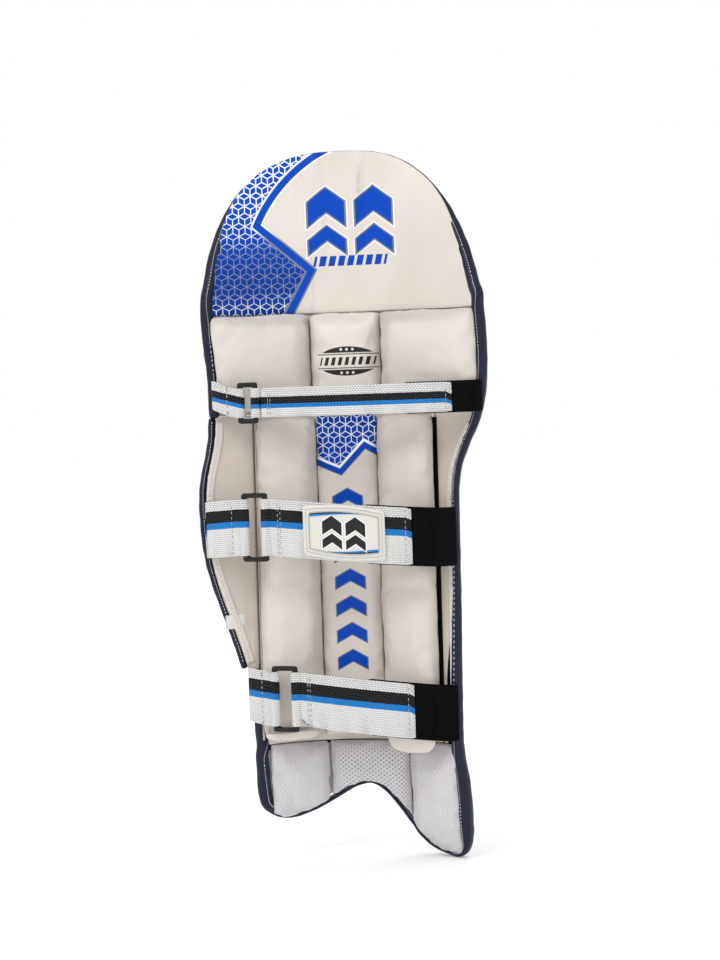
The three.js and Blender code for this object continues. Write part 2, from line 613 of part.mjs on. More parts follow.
// A moulded rectangular ring: its two upright bars stand at the strap's bars, two short ones close it.
const RING_BEVEL = 1.2;
const RING_CORNER = 3;
function ring(near, far, level, width) {
  const halfAcross = near.distanceTo(far) / 2;
  const halfUp = width / 2 + RING_BAR + EDGE_PLAY;
  const corners = (grow, radius) => {
    const x = halfAcross + grow - radius;
    const y = halfUp + grow - radius;
    const path = new THREE.Path();
    path.absarc(x, y, radius, 0, Math.PI / 2);
    path.absarc(-x, y, radius, Math.PI / 2, Math.PI);
    path.absarc(-x, -y, radius, Math.PI, 1.5 * Math.PI);
    path.absarc(x, -y, radius, 1.5 * Math.PI, 2 * Math.PI);
    return path.getPoints(2);
  };
  const shape = new THREE.Shape(corners(RING_BAR, RING_CORNER));
  shape.holes.push(new THREE.Path(corners(-RING_BAR, RING_CORNER / 2).reverse()));
  const depth = 2 * (RING_BAR - RING_BEVEL);
  const flat = bare(new THREE.ExtrudeGeometry(shape, {
    depth, bevelThickness: RING_BEVEL, bevelSize: RING_BEVEL, bevelOffset: -RING_BEVEL, bevelSegments: 1,
  }));
  const turn = Math.atan2(far.y - near.y, far.x - near.x);
  flat.translate(0, 0, -depth / 2).rotateX(Math.PI / 2).rotateZ(turn);
  return flat.translate((near.x + far.x) / 2, (near.y + far.y) / 2, level);
}

for (const [name, strap] of Object.entries(STRAPS)) {
  const { width, level, lift, drop } = strap;
  const { near, far, end, tab, line, reach, anchor } = route(strap);
  const start = far.x + 6;
  const height = (x) => level - drop * clamp01((x - start) / (end.x - start));
  add(`ring_${name}`, ring(near, far, level, width), PLASTIC);

  // The tab runs from its eye round the near bar to the left edge.
  const tabPoints = fractions(5).map((t) => tab.getPoint(lerp(0.12, 1, t)));
  const tabRun = near.x - 6 - tab.v2.x;
  const tabFoot = (x) => level - width / 2 + lift * clamp01((near.x - 6 - x) / tabRun);
  add(`tab_${name}`, raised(webbing(near, tabPoints, WEBBING, width), tabFoot), WEB);

  // The strap hangs on the far bar and ends over the loop band.
  const strapPoints = along(line, far.x + 5, reach, 12);
  const strapFoot = (x) => height(x) - width / 2;
  add(`strap_${name}`, raised(webbing(far, strapPoints, WEBBING, width), strapFoot), WEB);

  // The hook tab is sewn to the webbing's end, and the band lies under both.
  const tabEnd = (t) => (width / 2 - 1) * Math.sqrt(1 - (0.75 * smooth(0.35, 1, t)) ** 2);
  add(`hook_tab_${name}`, strip(along(line, reach + GAP, reach + HOOK_TAB, 5), BAND, height, tabEnd), BLACK);
  const clear = WEBBING / 2 + BAND / 2 + GAP;
  const bandPoints = along(line, reach - BAND_OVERLAP, end.x, 12, -clear);
  add(`loop_band_${name}`, strip([...bandPoints, anchor], BAND, height, () => width / 2 + 1), BLACK);
}

// The badge sits on the calf strap's outer face.
const BADGE = { from: -33, to: 46, width: 54, thickness: 2.4 };
const calf = STRAPS.middle;
const calfRoute = route(calf);
const calfStart = calfRoute.far.x + 6;
const calfHeight = (x) => calf.level - calf.drop * clamp01((x - calfStart) / (calfRoute.end.x - calfStart));
const badgeOff = WEBBING / 2 + BADGE.thickness / 2 + GAP;
const badgePoints = along(calfRoute.line, BADGE.from, BADGE.to, 8, badgeOff);
const badgeHalf = (t) => BADGE.width / 2 - 3 + 3 * Math.sin(Math.PI * t);
add("strap_badge", strip(badgePoints, BADGE.thickness, calfHeight, badgeHalf), RUBBER);

// The care label is sewn on the left wing's lining.
const CARE = { x: [-WING_FOLD - 29, -WING_FOLD - 12], z: [-92, -78], thickness: 0.6 };
add("care_label", layer({
  left: plain(CARE.x[0]), right: plain(CARE.x[1]), bottom: plain(CARE.z[0]), top: plain(CARE.z[1]),
  front: offset(-LINING - 2 * GAP - CARE.thickness), back: offset(-LINING - 2 * GAP),
  columns: fractions(2), rows: [0, 1],
}), LABEL);

export default pad;
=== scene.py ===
"""The looks of a cricket leg pad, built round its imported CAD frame.

Metres, in the frame's axes: +Z up the leg, -Y towards the leg and the camera, +Y out of the strike face.
"""
import functools
import json
import math

import bmesh
import bpy
import numpy as np
from mathutils import Matrix, Vector, noise
from mathutils.bvhtree import BVHTree
from mathutils.kdtree import KDTree


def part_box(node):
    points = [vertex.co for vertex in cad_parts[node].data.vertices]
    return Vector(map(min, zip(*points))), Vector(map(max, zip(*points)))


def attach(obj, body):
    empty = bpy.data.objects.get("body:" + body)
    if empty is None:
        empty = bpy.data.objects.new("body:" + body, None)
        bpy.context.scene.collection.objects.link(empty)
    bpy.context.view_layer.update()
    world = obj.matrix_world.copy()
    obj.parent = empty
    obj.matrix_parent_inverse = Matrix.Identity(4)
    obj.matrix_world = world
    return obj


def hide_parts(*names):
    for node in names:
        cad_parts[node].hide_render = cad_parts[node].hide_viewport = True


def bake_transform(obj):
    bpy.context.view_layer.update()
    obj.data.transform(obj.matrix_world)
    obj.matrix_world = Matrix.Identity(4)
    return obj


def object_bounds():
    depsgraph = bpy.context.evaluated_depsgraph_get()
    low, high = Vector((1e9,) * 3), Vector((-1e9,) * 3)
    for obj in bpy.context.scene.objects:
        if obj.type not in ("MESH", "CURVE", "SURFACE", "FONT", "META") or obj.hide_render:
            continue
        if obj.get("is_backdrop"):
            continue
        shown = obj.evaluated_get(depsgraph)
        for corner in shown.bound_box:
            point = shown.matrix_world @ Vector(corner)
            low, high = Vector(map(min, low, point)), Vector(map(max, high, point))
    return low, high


MM = 0.001
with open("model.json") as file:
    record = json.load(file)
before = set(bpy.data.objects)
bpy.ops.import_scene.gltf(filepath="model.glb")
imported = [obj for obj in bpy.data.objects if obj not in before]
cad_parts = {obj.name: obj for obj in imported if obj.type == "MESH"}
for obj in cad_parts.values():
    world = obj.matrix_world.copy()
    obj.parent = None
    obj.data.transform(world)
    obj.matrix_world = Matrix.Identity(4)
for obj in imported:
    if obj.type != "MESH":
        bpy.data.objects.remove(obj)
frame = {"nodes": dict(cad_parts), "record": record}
cad_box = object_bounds()
NODES = frame["nodes"]
BODY_OF = {
    node: body
    for body, members in frame["record"]["behaviour"]["bodies"].items()
    for node in members
}


def new_object(name, data):
    obj = bpy.data.objects.new(name, data)
    bpy.context.scene.collection.objects.link(obj)
    return obj


# -------- camera and light
def make_camera():
    """A long lens at the photograph's angle: a little to the right, a little above, and rolled."""
    distance, seen_height = 2.6, 0.9535
    azimuth, elevation, roll = math.radians(8), math.radians(2.5), math.radians(2)
    target = Vector((0.0155, -0.02, 0.052))
    away = Vector((
        math.sin(azimuth) * math.cos(elevation),
        -math.cos(azimuth) * math.cos(elevation),
        math.sin(elevation),
    ))
    data = bpy.data.cameras.new("camera")
    data.sensor_fit = "VERTICAL"
    data.sensor_height = 36
    data.lens = data.sensor_height * distance / seen_height
    camera = new_object("camera", data)
    camera.location = target + away * distance
    turn = (-away).to_track_quat("-Z", "Y").to_matrix().to_4x4()
    camera.matrix_world = Matrix.Translation(camera.location) @ turn @ Matrix.Rotation(-roll, 4, "Z")
    bpy.context.scene.camera = camera


def area_light(name, place, target, size, power):
    data = bpy.data.lights.new(name, "AREA")
    data.shape = "DISK"
    data.size = size
    data.energy = power
    light = new_object(name, data)
    light.location = place
    light.rotation_euler = (Vector(target) - Vector(place)).to_track_quat("-Z", "Y").to_euler()


def make_studio():
    """Soft light from the front and above, over a bright surround."""
    area_light("key", (-0.9, -1.9, 1.9), (0, 0, 0.05), 0.9, 21)
    area_light("fill", (1.9, -1.9, 0.6), (0, 0, 0.0), 1.6, 3)
    area_light("rim", (0.3, 2.2, 1.8), (0, 0, 0.1), 1.8, 20)
    world = bpy.data.worlds.new("world")
    world.use_nodes = True
    background = world.node_tree.nodes["Background"].inputs
    background["Color"].default_value = (1, 1, 1, 1)
    background["Strength"].default_value = 1.0
    bpy.context.scene.world = world
    bpy.context.scene.view_settings.view_transform = "Standard"


make_camera()
make_studio()


# -------- node arithmetic for materials
class Value:
    """A number that varies over a surface: a socket with the usual operators."""

    def __init__(self, shade, socket):
        self.shade, self.socket = shade, socket

    def __rsub__(self, other):
        return self.shade.math("SUBTRACT", other, self)

    def below(self, limit, soft=0.0002):
        """1 where the value is under limit, 0 above it, with a narrow soft step."""
        return self.shade.step(self, limit + soft, limit - soft)


for method, operation in {
    "__add__": "ADD", "__sub__": "SUBTRACT", "__mul__": "MULTIPLY", "__truediv__": "DIVIDE",
    "__abs__": "ABSOLUTE", "mod": "FLOORED_MODULO", "floor": "FLOOR", "sin": "SINE", "root": "SQRT",
    "power": "POWER",
    "least": "MINIMUM", "most": "MAXIMUM", "less": "LESS_THAN", "more": "GREATER_THAN",
}.items():
    setattr(Value, method, lambda self, *other, kind=operation: self.shade.math(kind, self, *other))


class Shade:
    """A material whose look is worked out from nodes."""

    def __init__(self, name, **fixed):
        self.material = bpy.data.materials.new(name)
        self.material.use_nodes = True
        self.tree = self.material.node_tree
        self.shader = self.tree.nodes["Principled BSDF"]
        for key, value in fixed.items():
            self.shader.inputs[key.replace("_", " ")].default_value = value

    def node(self, kind, **settings):
        node = self.tree.nodes.new(kind)
        for key, value in settings.items():
            setattr(node, key, value)
        return node

    def feed(self, socket, value):
        if isinstance(value, Value):
            self.tree.links.new(value.socket, socket)
        elif isinstance(value, bpy.types.NodeSocket):
            self.tree.links.new(value, socket)
        else:
            socket.default_value = value

    def math(self, operation, *values):
        node = self.node("ShaderNodeMath", operation=operation)
        for socket, value in zip(node.inputs, values):
            self.feed(socket, value)
        return Value(self, node.outputs[0])

    def step(self, value, low, high):
        node = self.node("ShaderNodeMapRange", interpolation_type="SMOOTHSTEP")
        self.feed(node.inputs["Value"], value)
        self.feed(node.inputs["From Min"], low)
        self.feed(node.inputs["From Max"], high)
        return Value(self, node.outputs["Result"])

    def uv(self):
        """Two lengths in millimetres that lie still on the cloth."""
        split = self.node("ShaderNodeSeparateXYZ")
        self.feed(split.inputs[0], self.node("ShaderNodeUVMap", uv_map="flat").outputs[0])
        return Value(self, split.outputs[0]) * 1000.0, Value(self, split.outputs[1]) * 1000.0

    def place(self):
        return self.node("ShaderNodeTexCoord").outputs["Object"]

    def noise(self, scale, detail=2.0, roughness=0.5, where=None):
        node = self.node("ShaderNodeTexNoise")
        self.feed(node.inputs["Vector"], where or self.place())
        for key, value in (("Scale", scale), ("Detail", detail), ("Roughness", roughness)):
            node.inputs[key].default_value = value
        return Value(self, node.outputs["Fac"])

    def mix(self, share, a, b):
        node = self.node("ShaderNodeMix", data_type="RGBA")
        self.feed(node.inputs["Factor"], share)
        for socket, value in ((node.inputs[6], a), (node.inputs[7], b)):
            self.feed(socket, (*value, 1.0) if isinstance(value, tuple) else value)
        return node.outputs[2]

    def bump(self, height, depth, strength=1.0):
        node = self.node("ShaderNodeBump")
        self.feed(node.inputs["Height"], height)
        node.inputs["Distance"].default_value = depth
        node.inputs["Strength"].default_value = strength
        return node.outputs[0]

    def finish(self, colour, roughness, normal=None):
        self.feed(self.shader.inputs["Base Color"], colour)
        self.feed(self.shader.inputs["Roughness"], roughness)
        if normal is not None:
            self.feed(self.shader.inputs["Normal"], normal)
        return self.material


# -------- colours, linear
WHITE_PU = (0.69, 0.638, 0.588)
WHITE_PU_SHADE = (0.62, 0.57, 0.52)
MESH_WHITE = (0.73, 0.678, 0.625)
# The pore colours here are painted shade: the darkness inside the pits and openings of the mesh cloths.
MESH_PIT_SHADE = (0.46, 0.415, 0.375)
COOL_WHITE = (0.64, 0.62, 0.632)
COOL_PIT_SHADE = (0.39, 0.37, 0.40)
COOL_HOLE_SHADE = (0.27, 0.255, 0.29)
BLUE = (0.0005, 0.058, 0.44)
# A darker copy of the print blue: painted shade on the prints, low on the hat and high on the shin panel,
# near the knee cushions.
BLUE_IN_SHADE = (0.0005, 0.036, 0.26)
STRIPE_BLUE = (0.008, 0.21, 0.62)
# A grey print ink, which the hat also uses as painted shade on the lower part of the white band round its
# print.
SILVER = (0.20, 0.205, 0.215)
# A dimmer copy of the white print lines: painted shade on the hat's lines.
LINE_IN_SHADE = (0.30, 0.33, 0.40)
BRIGHT = (0.86, 0.88, 0.92)
NAVY = (0.005, 0.007, 0.026)
NAVY_WORN = (0.012, 0.016, 0.045)
BLACK = (0.0025, 0.0025, 0.003)
BLACK_PILE = (0.0035, 0.0035, 0.004)
BLACK_WORN = (0.02, 0.02, 0.022)
LINING, LINING_SHADE = (0.60, 0.535, 0.48), (0.51, 0.455, 0.405)
FOAM, FOAM_CELL = (0.72, 0.69, 0.6), (0.55, 0.52, 0.44)
CANE, CANE_FIBRE = (0.62, 0.45, 0.24), (0.32, 0.2, 0.08)
# The weave hole colour is painted shade, deep between the webbing's loops.
YARN, YARN_SHADE, WEAVE_HOLE_SHADE = (0.82, 0.815, 0.81), (0.66, 0.655, 0.65), (0.08, 0.08, 0.085)
RUBBER, RUBBER_SHADE, RUBBER_LINE = (0.66, 0.645, 0.60), (0.60, 0.585, 0.54), (0.80, 0.80, 0.80)


# -------- the trough, in millimetres
SEAT, HAT_SEAM, KNEE_BOTTOM, SHIN_BOTTOM = 15.5, 222.0, 120.0, -211.0
HAT_HEIGHT, TOE_LENGTH, HAT_LEAN, TOE_KICK = 158.0, 117.0, 10.0, 14.0
CURLS = {"hat": (30, 147, 2.0), "knee": (60, 147, 2.2), "ankle": (50, 106, 2.1), "toe": (46, 112, 2.0)}


def curl(name, x):
    depth, at, power = CURLS[name]
    return depth * np.abs(np.asarray(x, float) / at) ** power


def shell(x, z):
    """The y of the foam core's inner face at x and z. Smaller y is nearer the leg."""
    x, z = np.asarray(x, float), np.asarray(z, float)
    knee, ankle = curl("knee", x), curl("ankle", x)
    up = np.clip((z - HAT_SEAM) / HAT_HEIGHT, 0, 1)
    down = np.clip((KNEE_BOTTOM - z) / (KNEE_BOTTOM - SHIN_BOTTOM), 0, 1)
    toe = np.clip((SHIN_BOTTOM - z) / TOE_LENGTH, 0, 1)
    above = knee + (curl("hat", x) + HAT_LEAN - knee) * up
    rise = np.where(z > KNEE_BOTTOM, above, knee + (ankle - knee) * down)
    return SEAT - np.where(z < SHIN_BOTTOM, ankle + (curl("toe", x) - TOE_KICK - ankle) * toe, rise)


# -------- patterns
def grain(shade, depth=0.00012, scale=1400.0):
    """The fine pebbled grain of synthetic leather."""
    return shade.bump(shade.noise(scale, 3.0, 0.55), depth, 0.6)


def dimples(u, v, pitch):
    """A lattice of pits on the diagonal: 0 in a pit, 1 on the yarn."""
    a = ((u + v) * (math.pi / pitch)).sin()
    b = ((u - v) * (math.pi / pitch)).sin()
    return abs(a).most(abs(b))


def cube_lines(u, v, size):
    """Distance in cell widths to the nearest line of a tumbling-cube pattern."""
    root3 = math.sqrt(3)
    x, y = u / size, v / size
    ax, ay = x.mod(1.0) - 0.5, y.mod(root3) - root3 / 2
    bx, by = (x - 0.5).mod(1.0) - 0.5, (y - root3 / 2).mod(root3) - root3 / 2
    nearer = (ax * ax + ay * ay).less(bx * bx + by * by)
    px = bx + (ax - bx) * nearer
    py = by + (ay - by) * nearer
    nearest = 0.5 - abs(px).most(abs(px) * 0.5 + abs(py) * (root3 / 2))
    for angle in (90, 210, 330):
        dx, dy = math.cos(math.radians(angle)), math.sin(math.radians(angle))
        ahead = (px * dx + py * dy).more(0.0)
        nearest = nearest.least(abs(px * dy - py * dx) + (1.0 - ahead))
    return nearest


# -------- materials
def clouded(s, tint=WHITE_PU, shade_tint=WHITE_PU_SHADE):
    """Leather's slightly uneven colour."""
    return s.mix(s.step(s.noise(9.0, 3.0), 0.35, 0.7), tint, shade_tint)


def white_leather(name, *tints):
    s = Shade(name, Specular_IOR_Level=0.42, Sheen_Weight=0.05)
    return s.finish(clouded(s, *tints), s.noise(60.0) * 0.16 + 0.36, grain(s))


def mesh_cloth(name, pitch, tint, pit_shade, hole=0.0):
    """Knitted mesh: rows of small pits, darker inside with painted shade. hole widens them into openings."""
    s = Shade(name, Sheen_Weight=0.2, Sheen_Roughness=0.5, Specular_IOR_Level=0.2)
    u, v = s.uv()
    yarn = dimples(u, v * 1.35, pitch)
    pit = s.step(yarn, 0.86, 0.36 + 0.12 * hole)
    soil = s.noise(14.0, 3.0)
    uneven = s.noise(130.0, 1.0) * 0.5 + 0.6
    cloth = s.mix(s.step(soil, 0.4, 0.75) * 0.5, tint, tuple(c * 0.9 for c in tint))
    fibres = s.noise(2600.0, 2.0)
    return s.finish(
        # Painted shade: the pits are mixed towards the shade colour.
        s.mix(pit * uneven, cloth, pit_shade),
        fibres * 0.1 + 0.78,
        s.bump(yarn * 0.8 + fibres * 0.2, 0.0006 + 0.0007 * hole, 0.9),
    )


def navy_leather(name):
    s = Shade(name, Specular_IOR_Level=0.28)
    rub = s.noise(22.0, 4.0, 0.6)
    return s.finish(
        s.mix(s.step(rub, 0.52, 0.8) * 0.7, NAVY, NAVY_WORN),
        s.noise(90.0, 3.0) * 0.2 + 0.3,
        grain(s, 0.00016, 1100.0),
    )


def foam_material():
    s = Shade("foam", Specular_IOR_Level=0.1)
    cells = s.noise(900.0, 4.0, 0.7)
    return s.finish(s.mix(cells, FOAM_CELL, FOAM), cells * 0.1 + 0.85, s.bump(cells, 0.0006))


def cane_material():
    s = Shade("cane", Specular_IOR_Level=0.3)
    stretch = s.node("ShaderNodeMapping")
    stretch.inputs["Scale"].default_value = (1.0, 1.0, 0.04)
    s.feed(stretch.inputs["Vector"], s.place())
    fibre = s.noise(700.0, 4.0, 0.6, stretch.outputs[0])
    return s.finish(s.mix(fibre, CANE_FIBRE, CANE), fibre * 0.2 + 0.5, s.bump(fibre, 0.0003))


def plastic_material():
    s = Shade("ring_plastic", Specular_IOR_Level=0.3)
    mottle = s.noise(420.0, 3.0)
    return s.finish(
        s.mix(s.noise(60.0, 4.0) * 0.5, BLACK, BLACK_WORN),
        mottle * 0.18 + 0.3, s.bump(mottle, 0.00015, 0.5),
    )


def webbing_material(name, black_from, blue_from, blue_to):
    """Coarse webbing. u runs along it, and v, in which the stripes are given, down from its top edge."""
    s = Shade(name, Specular_IOR_Level=0.12)
    u, v = s.uv()
    row = (v / WEB_ROW).floor()
    loop = abs(((u / WEB_LOOP + row * 0.5) * math.pi).sin())
    rib = abs((v / WEB_ROW * math.pi).sin())
    height = loop.power(0.6) * rib.power(0.5)
    wander = s.noise(260.0, 1.0) * 0.8 - 0.4
    edge = v + wander
    black = edge.below(blue_from) - edge.below(black_from)
    blue = edge.below(blue_to) - edge.below(blue_from)
    yarn = s.mix(s.noise(500.0, 2.0), YARN, YARN_SHADE)
    colour = s.mix(blue, s.mix(black, yarn, BLACK), STRIPE_BLUE)
    # Painted shade: the gaps between the loops are painted near black, more strongly above the blue stripe.
    open_weave = s.step(v, blue_to + 1.0, blue_from) * 0.32 + 0.38
    shaded = s.mix(s.step(height, 0.62, 0.1) * open_weave, colour, WEAVE_HOLE_SHADE)
    return s.finish(shaded, height * 0.12 + 0.66, s.bump(height, 0.0008, 0.9))


def pile_material():
    s = Shade("hook_loop", Specular_IOR_Level=0.05)
    tufts = s.noise(1700.0, 3.0, 0.7)
    return s.finish(s.mix(tufts, BLACK, BLACK_PILE), tufts * 0.15 + 0.72, s.bump(tufts, 0.0006))


def thread_material(name, tint):
    s = Shade(name, Specular_IOR_Level=0.3)
    twist = s.noise(2400.0, 2.0)
    colour = s.mix(twist, tint, tuple(c * 0.7 for c in tint))
    return s.finish(colour, twist * 0.2 + 0.6, s.bump(twist, 0.0002))


def line_side(u, v, start, end):
    """Signed distance to a straight line, positive on the left of its direction, in the plane of u and v."""
    (x0, z0), (x1, z1) = start, end
    length = math.hypot(x1 - x0, z1 - z0)
    return ((v - z0) * (x1 - x0) - (u - x0) * (z1 - z0)) / length


def banded(s, inside, colour, layers):
    """Bands along a print's edge: each covers colour where inside, a distance, is past the band's own."""
    for past, tint in layers:
        colour = s.mix(inside.below(past, 0.25), tint, colour)
    return colour


def stamped(s, mark, colour, layers):
    """A mark with outlines: each layer covers colour where mark, a distance, is under the layer's own."""
    for under, tint in layers:
        colour = s.mix(mark.below(under, 0.2), colour, tint)
    return colour


def chevron(across, up, half_width, slope, half_height):
    return (abs(up + across * slope) - half_height).most(across - half_width)


def twin_chevrons(u, v, centres, half_width, slope, limbs):
    """Two stacks of chevrons, as a distance. limbs says how high each one is and half its thickness."""
    shapes = [chevron(abs(u - x), v - z, half_width, slope, half) for x in centres for z, half in limbs]
    return functools.reduce(Value.least, shapes)


def dashes(x, z, width, height, dash, pitch):
    """A row of slanted dashes in a box round nought, as a distance."""
    x = x - z * 0.25
    cell = abs((x + pitch / 2).mod(pitch) - pitch / 2) - dash / 2
    return (abs(x) - width / 2).most(abs(z) - height / 2).most(cell)


def hat_material():
    """The top hat's inner panel: white, with a blue cube print on its left and a plain mark in the middle.
    The print carries painted light and shade by height: its blue is darker towards the foot, its lines are
    dimmer in a band between brighter bands, and its white edge band is grey low down.
    """
    s = Shade("hat_print", Specular_IOR_Level=0.12)
    u, v = s.uv()
    # How far inside the print a point is: outside the circle above, and left of the two lines below.
    du, dv = u - PRINT_ARC["x"], v - PRINT_ARC["z"]
    outside = ((du * du + dv * dv).root() - PRINT_ARC["radius"]).least(PRINT_ARC["x"] - u)
    a, b, c = PRINT_CORNERS
    inside = outside.most(line_side(u, v, b, a).least(line_side(u, v, c, b)))
    lines = cube_lines(u, v, CUBE)
    drift = s.noise(14.0, 1.0) * 26.0
    # Painted light and shade on the print's lines: bright in a band near the top and in one at the foot, and
    # dimmer and fainter between them.
    bright = s.step(v + drift, 292.0, 322.0).most(s.step(v + drift, 262.0, 236.0))
    lines_lit_and_shaded = s.mix(bright, LINE_IN_SHADE, BRIGHT)
    # Painted shade: the blue darkens towards the hat's foot, behind the knee cushions.
    field = s.mix(s.step(v, 240.0, 330.0), BLUE_IN_SHADE, BLUE)
    cubes = s.mix(lines.below(0.032, 0.014) * (bright * 0.35 + 0.6), field, lines_lit_and_shaded)
    # Painted light: wider bright lines near the top.
    cubes = s.mix(s.step(v + drift, 310.0, 360.0) * lines.below(0.046, 0.022), cubes, BRIGHT)
    # Painted shade: the white band round the print turns grey below about 290 mm.
    lining = s.mix(s.step(v, 290.0, 310.0), SILVER, BRIGHT)
    colour = banded(s, inside, clouded(s), ((-5.2, lining), (-3.6, BLUE), (3.2, lining), (5.0, cubes)))
    emblem = twin_chevrons(u, v - 318.0, (-13.0, 35.0), 19.0, 0.75, ((14.0, 12.5), (-19.0, 7.5)))
    colour = stamped(s, emblem, colour, ((2.3, BRIGHT), (1.2, SILVER), (-0.6, BLUE)))
    colour = stamped(s, dashes(u - 10.0, v - 271.0, 74.0, 10.0, 6.5, 9.4), colour, ((0.0, BLUE),))
    return s.finish(colour, s.noise(60.0) * 0.14 + 0.34, grain(s))


def panel_material():
    """The shin panel: the cube print at its top ends in a zigzag band, over a column of blue chevrons. Its
    blue is painted darker towards the top, painted shade under the knee cushions.
    """
    s = Shade("panel_print", Specular_IOR_Level=0.12)
    u, v = s.uv()
    a, b, c, d = PANEL_PRINT
    above = line_side(u, v, a, b).least(line_side(u, v, b, c).most(line_side(u, v, c, d)))
    # Painted shade: the blue darkens towards the panel's top, under the knee cushions.
    field = s.mix(s.step(v, 60.0, 120.0), BLUE, BLUE_IN_SHADE)
    cubes = s.mix(cube_lines(u, v, CUBE).below(0.034, 0.015) * 0.85, field, BRIGHT)
    colour = banded(s, above, clouded(s), ((-0.9, SILVER), (0.0, BLUE), (5.4, BRIGHT), (8.0, cubes)))
    colour = stamped(s, column(u, v), colour, ((0.8, SILVER), (-0.3, BLUE)))
    return s.finish(colour, s.noise(60.0) * 0.14 + 0.34, grain(s))


def column(u, v):
    """A column of chevrons running up the shin, as a distance."""
    pitch, low, high = 27.0, -142.0, 47.0
    z = (v - low).mod(pitch) - pitch / 2
    return chevron(abs(u), z - 4.0, 15.0, 0.55, 6.0).most(low - v).most(v - high)


def knee_material():
    """The middle knee cushion: plain white with a dark oval mark, split by a row of slanted dashes."""
    s = Shade("knee_print", Specular_IOR_Level=0.42, Sheen_Weight=0.04)
    u, v = s.uv()
    u, v = u - KNEE_MARK["x"], v - KNEE_MARK["z"]
    x, z = u / KNEE_MARK["half_width"], v / KNEE_MARK["half_height"]
    band = abs(z)
    # Three beads, 5.8 mm apart, in each cap.
    across, up = (u + 2.9).mod(5.8) - 2.9, (band - 0.8) * KNEE_MARK["half_height"]
    beads = (across * across + up * up).root().below(1.35, 0.2) * abs(u).below(8.7, 0.1)
    cap = (x * x + z * z).root().below(1.0, 0.01) * (1.0 - band.below(0.58, 0.01)) * (1.0 - beads)
    rule = (band.below(0.50, 0.01) - band.below(0.44, 0.01)) * abs(x).below(0.97, 0.01)
    mark = cap.most(rule).most(dashes(u, v, 54.0, 8.0, 3.6, 6.8).below(0.0, 0.2))
    return s.finish(s.mix(mark, clouded(s), BLACK), s.noise(60.0) * 0.16 + 0.36, grain(s))


def badge_material():
    """The plaque: off-white rubber with two curved stripes in its corners and two plain black chevrons."""
    s = Shade("badge_rubber", Specular_IOR_Level=0.4)
    u, v = s.uv()
    arch = u * u * 0.0022
    inner = (abs(u) - 33.2).most(abs(v) + arch - 20.3)
    colour = s.mix(s.noise(120.0), RUBBER, RUBBER_SHADE)
    for side in (1.0, -1.0):
        under = 20.3 - (v * side + arch)
        taper = 1.0 - s.step(u * side, -30.0, 22.0) * 0.8
        for low, high, tint in ((2.1, 4.2, STRIPE_BLUE), (0.3, 2.3, BLACK)):
            band = (under - taper * high).most(taper * low - under)
            colour = s.mix(band.most(u * side - 16.0).most(inner).below(0.0, 0.15), colour, tint)
    mark = twin_chevrons(u, v, (-11.5, 11.5), 9.6, 0.7, ((9.9, 6.4), (-5.4, 4.4)))
    colour = stamped(s, mark, colour, ((0.9, RUBBER_LINE), (0.0, BLACK)))
    rough = s.noise(900.0)
    return s.finish(colour, rough * 0.2 + 0.4, s.bump(rough, 0.0001))


# Where the prints lie, in millimetres of the cloth's own u and v, which are the frame's x and z.
CUBE = 11.6
PRINT_CORNERS = [(-82.0, 308.0), (-30.5, 262.0), (-56.5, 215.0)]
PRINT_ARC = {"x": 50.0, "z": 252.0, "radius": 143.4}
PANEL_PRINT = [(-40.0, 72.0), (-5.5, 57.0), (19.5, 83.0), (42.0, 69.0)]
KNEE_MARK = {"x": 6.0, "z": 170.5, "half_width": 31.0, "half_height": 14.5}
WEB_ROW, WEB_LOOP = 2.0, 3.0

MATERIALS = {
    "white": white_leather("white_pu"),
    "lining": white_leather("lining_pu", LINING, LINING_SHADE),
    "knee": knee_material(),
    "hat": hat_material(),
    "panel": panel_material(),
    "mesh": mesh_cloth("mesh_fine", 2.8, MESH_WHITE, MESH_PIT_SHADE),
    "mesh_cool": mesh_cloth("mesh_coarse", 4.4, COOL_WHITE, COOL_PIT_SHADE, 0.1),
    "mesh_open": mesh_cloth("mesh_open", 6.0, COOL_WHITE, COOL_HOLE_SHADE, 0.9),
    "navy": navy_leather("navy_pu"),
    "foam": foam_material(),
    "cane": cane_material(),
    "webbing_narrow": webbing_material("webbing_narrow", 9.0, 16.0, 20.2),
    "webbing_wide": webbing_material("webbing_wide", 9.8, 21.6, 27.8),
    "pile": pile_material(),
    "plastic": plastic_material(),
    "thread": thread_material("thread", (0.75, 0.74, 0.72)),
    "thread_grey": thread_material("thread_grey", (0.45, 0.45, 0.45)),
    "label": thread_material("label", (0.8, 0.79, 0.77)),
    "badge": badge_material(),
    "badge_frame": thread_material("badge_bead", (0.5, 0.49, 0.46)),
}


# -------- mesh helpers
def read(obj, what="co"):
    flat = np.zeros(len(obj.data.vertices) * 3)
    obj.data.vertices.foreach_get(what, flat)
    return flat.reshape(-1, 3)


def write(obj, points):
    obj.data.vertices.foreach_set("co", np.asarray(points, float).ravel())
    obj.data.update()


def smoothstep(value, low, high):
    t = np.clip((value - low) / (high - low), 0, 1)
    return t * t * (3 - 2 * t)


def mesh_object(name, points, faces):
    mesh = bpy.data.meshes.new(name)
    mesh.from_pydata([tuple(map(float, p)) for p in points], [], [tuple(map(int, f)) for f in faces])
    mesh.update()
    return new_object(name, mesh)


def apply_modifiers(obj):
    bpy.context.view_layer.update()
    graph = bpy.context.evaluated_depsgraph_get()
    mesh = bpy.data.meshes.new_from_object(obj.evaluated_get(graph))
    obj.modifiers.clear()
    obj.data = mesh
    return obj


def modified(obj, kind, **settings):
    """Applies one modifier with its settings."""
    modifier = obj.modifiers.new(kind.lower(), kind)
    for key, value in settings.items():
        setattr(modifier, key, value)
    return apply_modifiers(obj)


def subdivide(obj, levels):
    return modified(obj, "SUBSURF", levels=levels, render_levels=levels)


